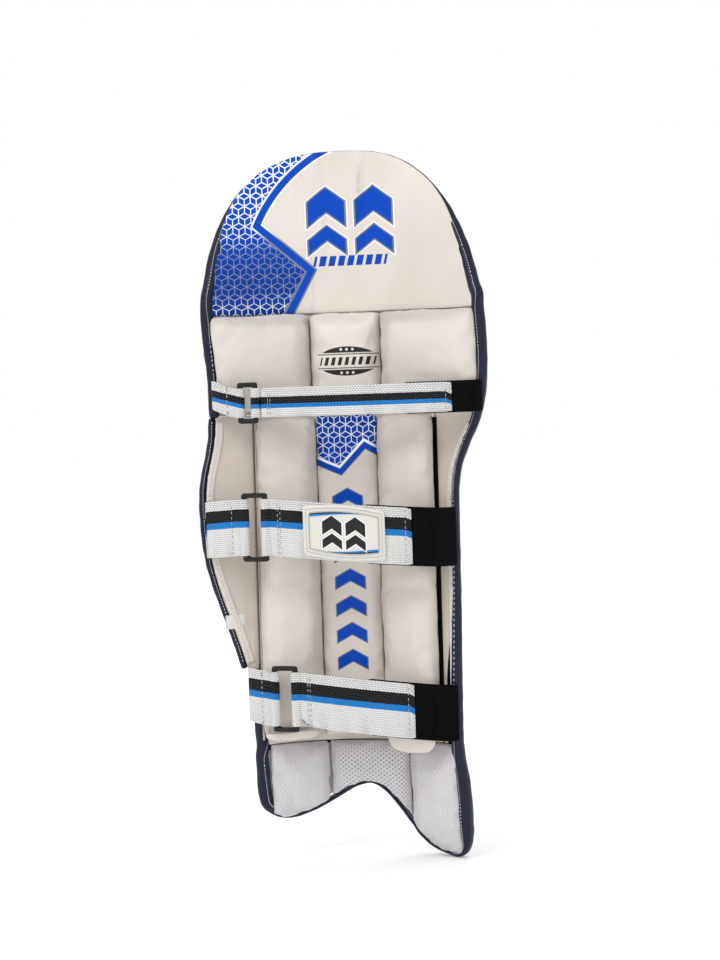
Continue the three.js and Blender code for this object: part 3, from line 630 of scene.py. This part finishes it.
def cad_mesh(node):
    """A CAD solid as a mesh to edit, with its triangles joined at their corners."""
    work = bmesh.new()
    work.from_mesh(NODES[node].data)
    bmesh.ops.remove_doubles(work, verts=work.verts, dist=1e-6)
    return work


def edited(name, work):
    mesh = bpy.data.meshes.new(name)
    work.to_mesh(mesh)
    work.free()
    return new_object(name, mesh)


def cad_copy(name, node):
    """A copy of a CAD solid as quads, with its sharp edges creased."""
    work = cad_mesh(node)
    bmesh.ops.join_triangles(
        work, faces=work.faces, angle_face_threshold=math.radians(40), angle_shape_threshold=math.pi
    )
    crease = work.edges.layers.float.new("crease_edge")
    for edge in work.edges:
        if len(edge.link_faces) == 2 and edge.calc_face_angle(0) > math.radians(50):
            edge[crease] = 0.9
    return edited(name, work)


def lay_uv(obj, u, v):
    """The UV map that the patterns use, from one u and v per vertex, in metres of cloth."""
    layer = obj.data.uv_layers.get("flat") or obj.data.uv_layers.new(name="flat")
    corner = np.zeros(len(obj.data.loops), int)
    obj.data.loops.foreach_get("vertex_index", corner)
    layer.data.foreach_set("uv", np.stack([u[corner], v[corner]], 1).ravel())


def lay_flat(obj):
    points = read(obj)
    lay_uv(obj, points[:, 0], points[:, 2])


def lay_folded(obj):
    """As lay_flat, with a cushion's sides and ends folded out so that its weave doesn't stretch there."""
    points = read(obj)
    low, high = points.min(0), points.max(0)
    middle, half = (low + high) / 2, (high - low) / 2
    out = []
    for axis in (0, 2):
        share = (points[:, axis] - middle[axis]) / half[axis]
        depth = points[:, 1] - low[1]
        out.append(points[:, axis] + np.sign(share) * smoothstep(np.abs(share), 0.7, 1.0) * depth)
    lay_uv(obj, *out)


def dress(obj, material, nodes=(), body=None):
    """Gives a piece its material and slot, hides the CAD nodes that it stands for, and attaches it to the
    body it rides on.
    """
    if "flat" not in obj.data.uv_layers:
        lay_flat(obj)
    obj.data.materials.clear()
    obj.data.materials.append(MATERIALS[material])
    obj.data.shade_smooth()
    if nodes:
        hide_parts(*nodes)
    if body is not None:
        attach(obj, body)
    return obj


def local_edge(points, lowest):
    """For each point, the height of its piece's lower (or upper) outline at the same x."""
    x, z = points[:, 0], points[:, 2]
    slots = np.linspace(x.min(), x.max(), 40)
    nearest = np.abs(x[:, None] - slots[None]).argmin(1)
    found = [i for i in range(len(slots)) if (nearest == i).any()]
    ends = [z[nearest == i].min() if lowest else z[nearest == i].max() for i in found]
    return np.interp(x, slots[found], ends)


def stretch_to(obj, upto, reach, lowest):
    """Moves a piece's lower (or upper) edge to the height upto, or by it where upto is a short distance."""
    points = read(obj)
    edge = local_edge(points, lowest)
    share = 1 - smoothstep(np.abs(points[:, 2] - edge), 0, reach)
    points[:, 2] += share * (upto - edge if abs(upto) > 0.05 else upto)
    write(obj, points)


def bend(obj):
    """Bakes a piece's placement into its mesh. It is used on the pieces that cross a fold, the hat's above
    the knee and the instep's below the ankle, but doesn't let them bend there.
    """
    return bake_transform(obj)


def ripple(obj, depth, cycle, stretch=(1.0, 1.0, 1.0), seed=0.0, where=None):
    """Pushes the surface in and out by smooth noise, up to depth and with one wave per cycle."""
    points = read(obj)
    scaled = points / cycle * np.array(stretch) + seed
    height = np.array([noise.noise(Vector(p)) for p in scaled]) * depth
    height = height if where is None else height * where
    write(obj, points + read(obj, "normal") * height[:, None])


LEGWARD = -0.35  # what faces the leg has a normal whose y is under this


def edge_distance(obj):
    """How far each vertex that faces the leg is, seen flat, from the piece's outline; the others get 0."""
    points, front = read(obj), read(obj, "normal")[:, 1] < LEGWARD
    tree = KDTree(int((~front).sum()))
    for i in np.nonzero(~front)[0]:
        tree.insert(Vector((points[i, 0], 0, points[i, 2])), int(i))
    tree.balance()
    away = np.zeros(len(points))
    for i in np.nonzero(front)[0]:
        away[i] = tree.find(Vector((points[i, 0], 0, points[i, 2])))[2]
    return away


def puff(obj, height, reach):
    """Raises the side that faces the leg into a soft crown that dies away at the outline."""
    away = edge_distance(obj)
    rise = np.sqrt(1 - (1 - np.clip(away / reach, 0, 1)) ** 2) * height
    points = read(obj)
    points[:, 1] -= rise
    write(obj, points)
    return away


def surface_of(*objects):
    points, faces = [], []
    for obj in objects:
        start = len(points)
        points += [v.co.copy() for v in obj.data.vertices]
        faces += [tuple(start + i for i in p.vertices) for p in obj.data.polygons]
    return BVHTree.FromPolygons(points, faces)


def drop_on(tree, x, z, side):
    """Where a line along y meets a surface, from the leg (side -1) or from the strike face (side 1)."""
    place, normal, _, _ = tree.ray_cast(Vector((x, side * 1.0, z)), Vector((0, -side, 0)))
    return (None, None) if place is None else (place, normal if normal.y * side > 0 else -normal)


def resample(points, step):
    """Points a fixed length apart along a polyline."""
    points = np.asarray(points, float)
    run = np.concatenate([[0], np.cumsum(np.linalg.norm(np.diff(points, axis=0), axis=1))])
    count = max(2, int(round(run[-1] / step)) + 1)
    at = np.linspace(0, run[-1], count)
    return np.stack([np.interp(at, run, points[:, i]) for i in range(points.shape[1])], 1)


def tube_faces(rings, around):
    """The faces of a closed tube whose points go ring by ring."""
    faces = [tuple(range(around - 1, -1, -1)), tuple((rings - 1) * around + k for k in range(around))]
    for r in range(rings - 1):
        for k in range(around):
            a, b = r * around + k, r * around + (k + 1) % around
            faces.append((a, b, b + around, a + around))
    return faces


def ribbon(name, points, rows, thickness, material, body):
    """A strip of cloth through points that go row by row, with rows points across it."""
    faces = [
        (i + r, i + r + 1, i + rows + r + 1, i + rows + r)
        for i in range(0, len(points) - rows, rows) for r in range(rows - 1)
    ]
    strip = modified(mesh_object(name, points, faces), "SOLIDIFY", thickness=thickness, offset=0)
    return dress(strip, material, (), body)


def stitches(name, runs, body, material="thread", length=0.0032, gap=0.0022, radius=0.00042):
    """Rows of short raised stitches. Each run is a list of (point, normal) along a seam."""
    points, faces = [], []
    around, rings, step = 5, 4, 0.0006
    steps = int(round(length / step))
    for run in runs:
        path = resample([tuple(p) + tuple(n) for p, n in run], step)
        for first in range(0, len(path) - steps, int(round((length + gap) / step))):
            row = path[first: first + steps + 1]
            along = Vector(row[-1][:3] - row[0][:3]).normalized()
            for r in range(rings):
                share = r / (rings - 1)
                at = row[int(round(share * steps))]
                normal = Vector(at[3:]).normalized()
                across = along.cross(normal).normalized()
                centre = Vector(at[:3]) + normal * (math.sin(math.pi * share) * radius * 0.9)
                thick = radius * (0.55 if r in (0, rings - 1) else 1.0)
                for k in range(around):
                    turn = 2 * math.pi * k / around
                    points.append(centre + (normal * math.sin(turn) + across * math.cos(turn)) * thick)
            start = len(points) - around * rings
            faces += [tuple(start + i for i in face) for face in tube_faces(rings, around)]
    return dress(mesh_object(name, points, faces), material, (), body) if points else None


def seam_on(tree, path, side, lift=0.0001):
    """A run for stitches() along a path of (x, z) dropped on a surface."""
    run = []
    for x, z in resample(path, 0.0025):
        place, normal = drop_on(tree, x, z, side)
        if place is not None:
            run.append((place + normal * lift, normal))
    return run


def bead(name, run, radius, around=8):
    """A round bead along a run of (point, normal)."""
    points, last = [], len(run) - 1
    for i, (p, normal) in enumerate(run):
        along = (run[min(i + 1, last)][0] - run[max(i - 1, 0)][0]).normalized()
        normal = (normal - along * normal.dot(along)).normalized()
        across = normal.cross(along).normalized()
        for k in range(around):
            turn = 2 * math.pi * k / around
            points.append(p + (across * math.cos(turn) + normal * math.sin(turn)) * radius)
    return mesh_object(name, points, tube_faces(len(run), around))


def facing(name, node, lift, thickness, material, body):
    """A thin cloth on the side of a CAD solid that faces the leg."""
    work = cad_mesh(node)
    bmesh.ops.delete(work, geom=[f for f in work.faces if f.normal.y > LEGWARD], context="FACES")
    for vertex in work.verts:
        vertex.co.y -= lift
    cloth = modified(edited(name, work), "SOLIDIFY", thickness=thickness, offset=-1)
    return dress(cloth, material, (), body)


# -------- padded pieces
def pad(name, node, material, swell, voxel=0.0045, held=0.3, grow=(0.0, 0.0, 0.0)):
    """The start of a stuffed piece: its CAD solid remeshed, with its seams and back marked as held."""
    obj = modified(cad_copy(name, node), "REMESH", mode="VOXEL", voxel_size=voxel)
    modified(obj, "SMOOTH", factor=0.5, iterations=4)
    points = read(obj)
    middle = (points.min(0) + points.max(0)) / 2
    half = (points.max(0) - points.min(0)) / 2
    write(obj, middle + (points - middle) * (half + np.array(grow)) / half)
    back = surface_of(NODES[node])
    side = -1 if "roll" in name else 1
    depth = np.zeros(len(points))
    for i, p in enumerate(read(obj)):
        place, _ = drop_on(back, p[0], p[2], side)
        depth[i] = 0 if place is None else abs(p[1] - place.y)
    group = obj.vertex_groups.new(name="held")
    for i in np.nonzero(depth < depth.max() * held)[0]:
        group.add([int(i)], 1.0, "REPLACE")
    return {"obj": obj, "node": node, "material": material, "swell": swell}


CLOTH = {
    "quality": 4, "mass": 0.15, "tension_stiffness": 9, "compression_stiffness": 9, "shear_stiffness": 4,
    "bending_stiffness": 0.2, "shrink_min": -0.03, "use_pressure": True, "uniform_pressure_force": 4,
    "vertex_group_mass": "held",
}
CLOTH_FRAMES = 20


def inflate(pads):
    """Blows the pads up in one run of cloth simulation. No point moves further than its pad's swell."""
    start = [read(p["obj"]) for p in pads]
    for p in pads:
        cloth = p["obj"].modifiers.new("cloth", "CLOTH")
        for key, value in CLOTH.items():
            setattr(cloth.settings, key, value)
        cloth.settings.effector_weights.gravity = 0
        cloth.collision_settings.use_collision = False
    for number in range(1, CLOTH_FRAMES + 1):
        bpy.context.scene.frame_set(number)
    for p, before in zip(pads, start):
        obj = p["obj"]
        apply_modifiers(obj)
        move = read(obj) - before
        size = np.linalg.norm(move, axis=1, keepdims=True)
        write(obj, before + move * np.minimum(1.0, p["swell"] / np.maximum(size, 1e-9)))
        obj.vertex_groups.clear()
        subdivide(obj, 1)
    bpy.context.scene.frame_set(1)


ALL_ROUND = (0.0012, 0, 0.0012)  # how much wider and taller a cushion is than its solid, each way
PADS = [
    *[pad(f"bolster_{at}", f"{at}_bolster", "mesh", 0.005, grow=(0.0006, 0, 0)) for at in ("left", "right")],
    pad("panel_shin", "shin_panel", "panel", 0.003, 0.004, grow=(0.0008, 0, 0)),
    pad("cushion_knee_left", "knee_cushion_left", "mesh", 0.006, grow=ALL_ROUND),
    pad("cushion_knee_centre", "knee_cushion_centre", "knee", 0.005, grow=ALL_ROUND),
    pad("cushion_knee_right", "knee_cushion_right", "mesh", 0.006, grow=ALL_ROUND),
    pad("cushion_instep_left", "instep_pad_left", "mesh_cool", 0.004, 0.004, grow=ALL_ROUND),
    pad("cushion_instep_centre", "instep_pad_centre", "mesh_open", 0.003, 0.004, grow=ALL_ROUND),
    pad("cushion_instep_right", "instep_pad_right", "mesh_cool", 0.004, 0.004, grow=ALL_ROUND),
    *[
        pad(f"roll_knee_{row}", f"knee_roll_{row}", "navy", 0.004, held=0.2)
        for row in ("lower", "middle", "upper")
    ],
]
inflate(PADS)
for number, p in enumerate(PADS):
    obj, instep = p["obj"], "instep" in p["obj"].name
    ripple(obj, 0.0007, 0.022, seed=number * 3.7)
    ripple(obj, 0.0004, 0.008, seed=number * 5.1)
    if obj.name == "bolster_left":
        stretch_to(obj, 0.005, 0.030, True)
    if instep:
        stretch_to(obj, -0.2118, 0.016, False)
        stretch_to(obj, -0.0055, 0.030, True)
    if p["material"].startswith("mesh"):
        lay_folded(obj)
    dress(obj, p["material"], [p["node"]], None if instep else BODY_OF[p["node"]])
    if instep:
        bend(obj)


# -------- skins taken from the CAD solids
WING_REACH = 0.0036  # how far the wing's cloth reaches up beyond its solid, towards the knee section
WING_DROP = 0.0040  # and how far down, behind the lowest strap


def skin(name, node, material, levels=2):
    return dress(subdivide(cad_copy(name, node), levels), material, [node])


for node in ("shin_face", "right_wing_face", "left_wing_face", "knee_backing"):
    face = skin(f"skin_{node}", node, "navy")
    if node == "left_wing_face":
        stretch_to(face, WING_REACH, 0.02, False)
        stretch_to(face, -WING_DROP, 0.02, True)
    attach(face, BODY_OF[node])
for node in ("shin_foam_core", "left_wing_foam", "top_hat_foam_core"):
    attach(skin(f"core_{node}", node, "foam", 1), BODY_OF[node])
face = skin("skin_top_hat_face", "top_hat_face", "navy")
stretch_to(face, 0.2208, 0.016, True)
bend(face)
face = skin("skin_instep_face", "instep_face", "navy")
stretch_to(face, -0.2113, 0.014, False)
bend(face)
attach(skin("lining_shin", "shin_lining", "white"), "shin")
for node in NODES:
    if "cane" in node:
        NODES[node].data.materials.clear()
        NODES[node].data.materials.append(MATERIALS["cane"])

facing("bed_knee", "knee_backing", 0.0003, 0.0002, "white", "shin")
facing("bed_instep", "instep_face", 0.0003, 0.0002, "mesh_cool", "instep")

# The wings' linings, softly filled and crumpled.
wing = subdivide(cad_copy("lining_left_wing", "left_wing_lining"), 3)
stretch_to(wing, WING_REACH, 0.02, False)
stretch_to(wing, -WING_DROP, 0.02, True)
away = puff(wing, 0.0022, 0.016)
ripple(wing, 0.0012, 0.03, (1, 1, 0.45), 2.0, smoothstep(away, 0.001, 0.008))
dress(wing, "lining", ["left_wing_lining"], "left_wing")
wing = subdivide(cad_copy("lining_right_wing", "right_wing_lining"), 3)
away = puff(wing, 0.0015, 0.008)
top = smoothstep(read(wing)[:, 2], -0.02, 0.1)
ripple(wing, 0.0058, 0.017, (1, 1, 0.7), 8.0, smoothstep(away, 0.0005, 0.004) * (0.3 + top))
dress(wing, "lining", ["right_wing_lining"], "shin")



def spread(obj, spring, widen, low, high):
    """Widens a dome away from its spring line's middle, more and more from the height low up to high."""
    points = read(obj)
    centre = np.array([(points[:, 0].min() + points[:, 0].max()) / 2, 0, spring])
    over = smoothstep(points[:, 2], low, high) * widen
    reach = np.hypot(points[:, 0] - centre[0], points[:, 2] - spring)
    share = 1 + over / np.maximum(reach.max() * 0.95, reach)
    away = (points - centre) * np.array([1, 0, 1])
    write(obj, points + away * (share - 1)[:, None])


def crease(obj, lie, at, width, top):
    """A soft fold that rises from the knee seam at x = at, leaning outwards, and fades out at the top."""
    points = read(obj)
    off = (points[:, 0] - at - (points[:, 2] - 0.24) * 0.45) / width
    points[:, 1] += 0.0034 * (1 - smoothstep(points[:, 2], 0.236, top)) * lie * np.exp(-off * off)
    write(obj, points)


# The top hat's panel: one printed cover, stuffed, that runs down behind the knee cushions.
hat = subdivide(cad_copy("panel_top_hat", "top_hat_lining"), 3)
spread(hat, 0.236, 0.0068, 0.27, 0.345)
away = puff(hat, 0.0055, 0.030)
stretch_to(hat, 0.2192, 0.024, True)
lie = smoothstep(away, 0.002, 0.02)
gather = 1 - smoothstep(read(hat)[:, 2], 0.225, 0.285)
ripple(hat, 0.0042, 0.021, (1, 1, 0.22), 4.0, lie * gather)
crease(hat, lie, 0.024, 0.0075, 0.276)
crease(hat, lie, 0.054, 0.0100, 0.268)
ripple(hat, 0.0022, 0.05, (1, 1, 0.8), 1.0, lie)
ripple(hat, 0.0005, 0.012, (1, 1, 1), 6.0, lie)
dress(hat, "hat", ["top_hat_lining"])
bend(hat)


# -------- bound edges
def centre_line(node):
    """The middle of each ring of a piping's tube, from one end to the other."""
    work = cad_mesh(node)
    sharp = [e for e in work.edges if len(e.link_faces) == 2 and e.calc_face_angle(0) > math.radians(65)]
    ring = {sharp[0].verts[0], sharp[0].verts[1]}
    grown = True
    while grown:
        grown = False
        for edge in sharp:
            a, b = edge.verts
            if (a in ring) != (b in ring):
                ring |= {a, b}
                grown = True
    seen, middles = set(ring), []
    while ring:
        middles.append(sum((v.co for v in ring), Vector()) / len(ring))
        following = {e.other_vert(v) for v in ring for e in v.link_edges} - seen
        seen |= following
        ring = following
    work.free()
    return middles


def ordered(middles, rising):
    return middles if (middles[-1].z > middles[0].z) == rising else middles[::-1]


RIM_OUTER = 0.0032  # how far a bound edge stands outside the middle of its piping


def rim(name, path, skins, nodes, thick, width_at, front_at=None):
    """A rolled, bound edge: it wraps the layers, from outside the piping to width_at(point) over the panel.
    front_at(point) is how far it stands towards the leg, thick / 2 if not given."""
    tree = surface_of(*[NODES[n] for n in skins])
    path = [Vector(p) for p in resample(path, 0.005)]
    last = len(path) - 1
    along = [(path[min(i + 1, last)] - path[max(i - 1, 0)]).normalized() for i in range(last + 1)]
    inward = []
    for p, d in zip(path, along):
        pull = tree.find_nearest(p)[0] - p
        inward.append((pull - d * pull.dot(d)).normalized())
    for _ in range(4):
        sums = [inward[max(i - 1, 0)] + inward[i] + inward[min(i + 1, last)] for i in range(last + 1)]
        inward = [pull.normalized() for pull in sums]
    around, points, frames = 16, [], []
    for p, d, pull in zip(path, along, inward):
        across = pull.cross(d).normalized()
        across = across if across.y > 0 else -across
        frames.append((p, pull, across))
        pull = (pull - d * pull.dot(d)).normalized()
        width, front = width_at(p), (front_at(p) if front_at else thick / 2)
        for k in range(around):
            c, s = math.cos(2 * math.pi * k / around), math.sin(2 * math.pi * k / around)
            depth = math.copysign(abs(s) ** 0.8, s) * (thick / 2 if s > 0 else front)
            reach = math.copysign(abs(c) ** 0.8, c) * (width + RIM_OUTER) / 2 + (width - RIM_OUTER) / 2
            points.append(p + across * depth + pull * reach)
    obj = mesh_object(name, points, tube_faces(last + 1, around))
    obj.data.update()
    work = bmesh.new()
    work.from_mesh(obj.data)
    bmesh.ops.recalc_face_normals(work, faces=work.faces)
    work.to_mesh(obj.data)
    work.free()
    subdivide(obj, 1)
    ripple(obj, 0.0005, 0.012, seed=2.0)
    dress(obj, "navy", nodes)
    return obj, [
        [(p, pull * (width_at(p) * 0.62), across * side) for p, pull, across in frames] for side in (-1, 1)
    ]


def rim_stitches(name, obj, guides):
    """Two rows of stitches on a rim, one towards the leg and one on the strike side."""
    tree, rows = surface_of(obj), []
    for guide in guides:
        hits = [(tree.ray_cast(p + inset + out * 0.03, -out)[0], out) for p, inset, out in guide]
        rows.append([(place + out * 0.0001, out) for place, out in hits if place is not None])
    return stitches(name, rows, None)


def width_by_height(keys):
    """Widths in millimetres that follow from a point's height, from pairs of height and width."""
    heights, widths = zip(*keys)
    return lambda p: float(np.interp(p.z / MM, heights, widths)) * MM


right = resample(ordered(centre_line("right_binding"), True), 0.004)
hat_line = centre_line("top_hat_binding")
hat_line = hat_line if hat_line[0].x > 0 else hat_line[::-1]
upper = [p for p in right if p[2] > -0.012] + hat_line + ordered(centre_line("knee_left_binding"), False)
upper_width = width_by_height([(-20, 4.5), (60, 4.5), (110, 7), (220, 9.5), (300, 8), (350, 2), (380, 1)])
upper_front = width_by_height([(230, 6.5), (290, 4.2), (340, 3.2), (380, 3.0)])
rim_upper, guides = rim(
    "rim_upper", upper, ["top_hat_face", "top_hat_lining", "knee_backing", "right_wing_face"],
    ["right_binding", "top_hat_binding", "knee_left_binding"], 0.0130, upper_width, upper_front,
)
thread_upper = rim_stitches("thread_rim_upper", rim_upper, guides)
bend(rim_upper)
bend(thread_upper)

toe_line = centre_line("instep_binding")
toe_line = toe_line if toe_line[0].x > 0 else toe_line[::-1]
lower = (
    [p for p in right[::-1] if p[2] < 0.0] + toe_line + ordered(centre_line("left_shin_binding"), True)
)


def lower_width(p):
    """Wide along the sides, where the navy face wraps round, and thin along the arch and the lobes."""
    side = max(smoothstep(p.x, 0.098, 0.106), smoothstep(-p.x, 0.086, 0.092))
    height = np.interp(p.z / MM, [-325, -308, -290, -200, -60, 0], [3.0, 9.0, 11.0, 10.0, 6.0, 4.5]) * MM
    return float(0.0022 + side * (height - 0.0022))


rim_lower, guides = rim(
    "rim_lower", lower, ["instep_face", "shin_face", "right_wing_face"],
    ["instep_binding", "left_shin_binding", "right_binding"], 0.0130, lower_width,
)
thread_lower = rim_stitches("thread_rim_lower", rim_lower, guides)
bend(rim_lower)
bend(thread_lower)
wing_line = ordered(centre_line("left_wing_binding"), False)
wing_top = wing_line[0] + (wing_line[0] - wing_line[1]).normalized() * WING_REACH
wing_end = wing_line[-1] + (wing_line[-1] - wing_line[-2]).normalized() * WING_DROP
rim_wing, guides = rim(
    "rim_wing", [wing_top] + wing_line + [wing_end], ["left_wing_face", "left_wing_lining"],
    ["left_wing_binding"], 0.0125, lambda p: 0.0035,
)
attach(rim_wing, "left_wing")
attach(rim_stitches("thread_rim_wing", rim_wing, guides), "left_wing")


# -------- small cloth parts
def ruffle(name, line, skins, body, inset, width, body_seed):
    """A gathered strip of white cloth that lies along an edge on the leg side, with a row of stitches."""
    tree = surface_of(*skins)
    line = [Vector(p) for p in resample(line, 0.0012)]
    points, count, rows = [], len(line), 7
    middle = []
    for i, p in enumerate(line):
        d = (line[min(i + 3, count - 1)] - line[max(i - 3, 0)]).normalized()
        flat = Vector((d.z, 0, -d.x))
        flat = flat if flat.x * (1 if p.x < 0 else -1) > 0 else -flat
        wave = math.sin(i * 0.62 + body_seed) * 0.6 + noise.noise(Vector((i * 0.11, body_seed, 0)))
        for r in range(rows):
            share = r / (rows - 1)
            at = p + flat * (inset + width * share + 0.0006 * wave * (1 - share))
            place, _ = drop_on(tree, at.x, at.z, -1)
            y = (place.y if place is not None else p.y) - 0.0005 - 0.0012 * abs(wave) * (1 - share * 0.6)
            points.append((at.x, y, at.z))
            if r == rows // 2:
                middle.append((Vector((at.x, y - 0.0002, at.z)), Vector((0, -1, 0))))
    ribbon(name, points, rows, 0.0006, "white", body)
    stitches(f"thread_{name}", [middle], body, "thread_grey", 0.0022, 0.0020, 0.0003)


ruffle("ruffle_left_wing", centre_line("left_wing_binding"), [bpy.data.objects["lining_left_wing"]],
       "left_wing", 0.0042, 0.0065, 1.0)
right_inner = [p for p in right if -0.195 < p[2] < 0.105]
ruffle("ruffle_right_wing", right_inner, [bpy.data.objects["lining_right_wing"]], "shin", 0.0052, 0.0040, 4.0)


def tape(name, middle, width, lift, thickness, material):
    """A ribbon down the trough, lift above the foam core's inner face, all in millimetres."""
    points = [
        (x * MM, (float(shell(x, z)) - lift) * MM, z * MM)
        for z in np.linspace(-206, 112, 60) for x in np.linspace(middle - width / 2, middle + width / 2, 5)
    ]
    ribbon(name, points, 5, thickness * MM, material, "shin")


# A black strip in the gap beside the right bolster: partly a black cloth edge, partly painted shadow deep in
# the gap.
tape("dark_strip_and_gap_shadow", 90.6, 4.2, 4.2, 1.0, "pile")
tape("tape_left_gap", -90.2, 1.6, 3.6, 0.8, "lining")


def bolster_end(name, node, drop, inset):
    """The turned-in end of a bolster: a soft white cap that hangs below it."""
    low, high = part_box(node)
    centre = Vector(((low.x + high.x) / 2, 0, low.z + 0.012))
    half = (high.x - low.x) / 2 - inset
    points, around, rings = [], 28, 12
    for r in range(rings + 1):
        fall = r / rings
        for k in range(around):
            turn = 2 * math.pi * k / around
            c, s = math.cos(turn), math.sin(turn)
            grow = math.sqrt(max(0.0, 1 - fall ** 2.6)) if r < rings else 0.02
            x = centre.x + math.copysign(abs(c) ** 0.7, c) * half * (0.35 + 0.65 * grow)
            z = centre.z - fall * (0.012 + drop)
            back = float(shell(x / MM, z / MM)) * MM - 0.0178
            y = back - 0.0085 - math.copysign(abs(s) ** 0.8, s) * 0.0085 * grow
            points.append((x, y, z))
    obj = mesh_object(name, points, tube_faces(rings + 1, around))
    subdivide(obj, 1)
    ripple(obj, 0.0011, 0.010, seed=3.0 + half)
    dress(obj, "white", (), "shin")
    return obj


bolster_end("bolster_end_left", "left_bolster", -0.003, 0.004)
bolster_end("bolster_end_right", "right_bolster", 0.0105, 0.003)


# -------- straps
def top_edge(points):
    """The upper outline of a strap, as the hull of its points seen flat: x and z of its corners."""
    flat = sorted({(round(float(p[0]), 5), round(float(p[2]), 5)) for p in points})
    hull = []
    for p in flat:
        while len(hull) > 1:
            (x0, z0), (x1, z1) = hull[-2:]
            if (x1 - x0) * (p[1] - z0) < (z1 - z0) * (p[0] - x0):
                break
            hull.pop()
        hull.append(p)
    steep = [abs(b[1] - a[1]) > abs(b[0] - a[0]) for a, b in zip(hull, hull[1:])]
    hull = hull[1 if steep[0] else 0: len(hull) - (1 if steep[-1] else 0)]
    for near, beyond, at in ((0, 1, 0), (-1, -2, len(hull))):
        (x0, z0), (x1, z1) = hull[near], hull[beyond]
        far = x0 + (x0 - x1) / abs(x0 - x1) * 0.03
        hull.insert(at if at == 0 else len(hull), (far, z0 + (z1 - z0) / (x1 - x0) * (far - x0)))
    return np.array(hull)


def webbing(name, node, material):
    """Striped webbing: v is the distance down from the strap's top edge, u runs along it."""
    obj = subdivide(cad_copy(name, node), 1)
    points = read(obj)
    hull = top_edge(points)
    lay_uv(obj, points[:, 0], np.interp(points[:, 0], hull[:, 0], hull[:, 1]) - points[:, 2])
    return dress(obj, material, [node], BODY_OF[node])


RING_BAR = 0.0025  # the radius of a ring's bars
for level in ("top", "middle", "bottom"):
    near, far = (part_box(f"ring_{level}")[end].x + bar for end, bar in ((0, RING_BAR), (1, -RING_BAR)))
    cloth = "webbing_narrow" if level == "top" else "webbing_wide"
    strap = webbing(f"strap_{level}_webbing", f"strap_{level}", cloth)
    tab = webbing(f"tab_{level}_webbing", f"tab_{level}", cloth)
    node = f"ring_{level}"
    dress(subdivide(cad_copy(f"{node}_loop", node), 2), "plastic", [node], node)
    for part in ("hook_tab", "loop_band"):
        node = f"{part}_{level}"
        dress(subdivide(cad_copy(f"{part}_{level}_tape", node), 1), "pile", [node], BODY_OF[node])
    # Box stitches: a row beside each loop, and one where the hook tab is sewn on.
    for piece, x, body in (
        (strap, far + 0.0125, f"strap_{level}"),
        (strap, far + 0.0150, f"strap_{level}"),
        (strap, read(strap)[:, 0].max() - 0.006, f"strap_{level}"),
        (tab, near - 0.0125, BODY_OF[f"tab_{level}"]),
    ):
        tree = surface_of(piece)
        column = read(piece)[np.abs(read(piece)[:, 0] - x) < 0.006][:, 2]
        run = seam_on(tree, [(x, column.min() + 0.002), (x, column.max() - 0.002)], -1)
        stitches(f"thread_{piece.name}_{int(abs(x) * 1e4)}", [run], body, "thread_grey")

badge = subdivide(cad_copy("badge_plaque", "strap_badge"), 2)
points = read(badge)
tilt, level = np.polyfit(points[:, 0], points[:, 2], 1)
middle = (points[:, 0].min() + points[:, 0].max()) / 2
half_x = (points[:, 0].max() - points[:, 0].min()) / 2
rise = points[:, 2] - tilt * points[:, 0] - level
lay_uv(badge, points[:, 0] - middle, rise)
half_z = (rise.max() - rise.min()) / 2
dress(badge, "badge", ["strap_badge"], "strap_middle")
tree = surface_of(badge)


def badge_outline(inset, bulge=0.0035):
    """The plaque's outline drawn in by inset: straight sides, bulged top and bottom, tilted as it is."""
    path = []
    for side in (1, -1):
        for t in np.linspace(-1, 1, 25):
            x = middle - side * t * (half_x - inset)
            path.append((x, level + tilt * x + side * (half_z - inset - bulge * t * t)))
    return path + path[:1]


run = seam_on(tree, badge_outline(0.0030), -1)
stitches("thread_badge", [run], "strap_middle", "thread_grey", 0.0022, 0.0016, 0.0003)
frame_run = seam_on(tree, badge_outline(0.0062), -1, 0.0)
dress(bead("badge_frame", frame_run, 0.0007), "badge_frame", (), "strap_middle")
dress(subdivide(cad_copy("label_care", "care_label"), 1), "label", ["care_label"], "left_wing")


# -------- floor
def make_floor():
    s = Shade("floor", Specular_IOR_Level=0.0, Emission_Color=(1, 1, 1, 1), Emission_Strength=0.2)
    tone = s.noise(3.0, 2.0)
    colour = s.finish(s.mix(tone, (0.79, 0.79, 0.79), (0.81, 0.81, 0.81)), tone * 0.1 + 0.8)
    low, half = cad_box[0][2], 60
    corners = [(-half, -half, low), (half, -half, low), (half, half, low), (-half, half, low)]
    floor = mesh_object("floor", corners, [(0, 1, 2, 3)])
    floor.data.materials.append(colour)
    floor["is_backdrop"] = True


make_floor()
shown_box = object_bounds()
plain = lambda box: [[float(c) for c in corner] for corner in box]
{"cad": plain(cad_box), "visual": plain(shown_box)}
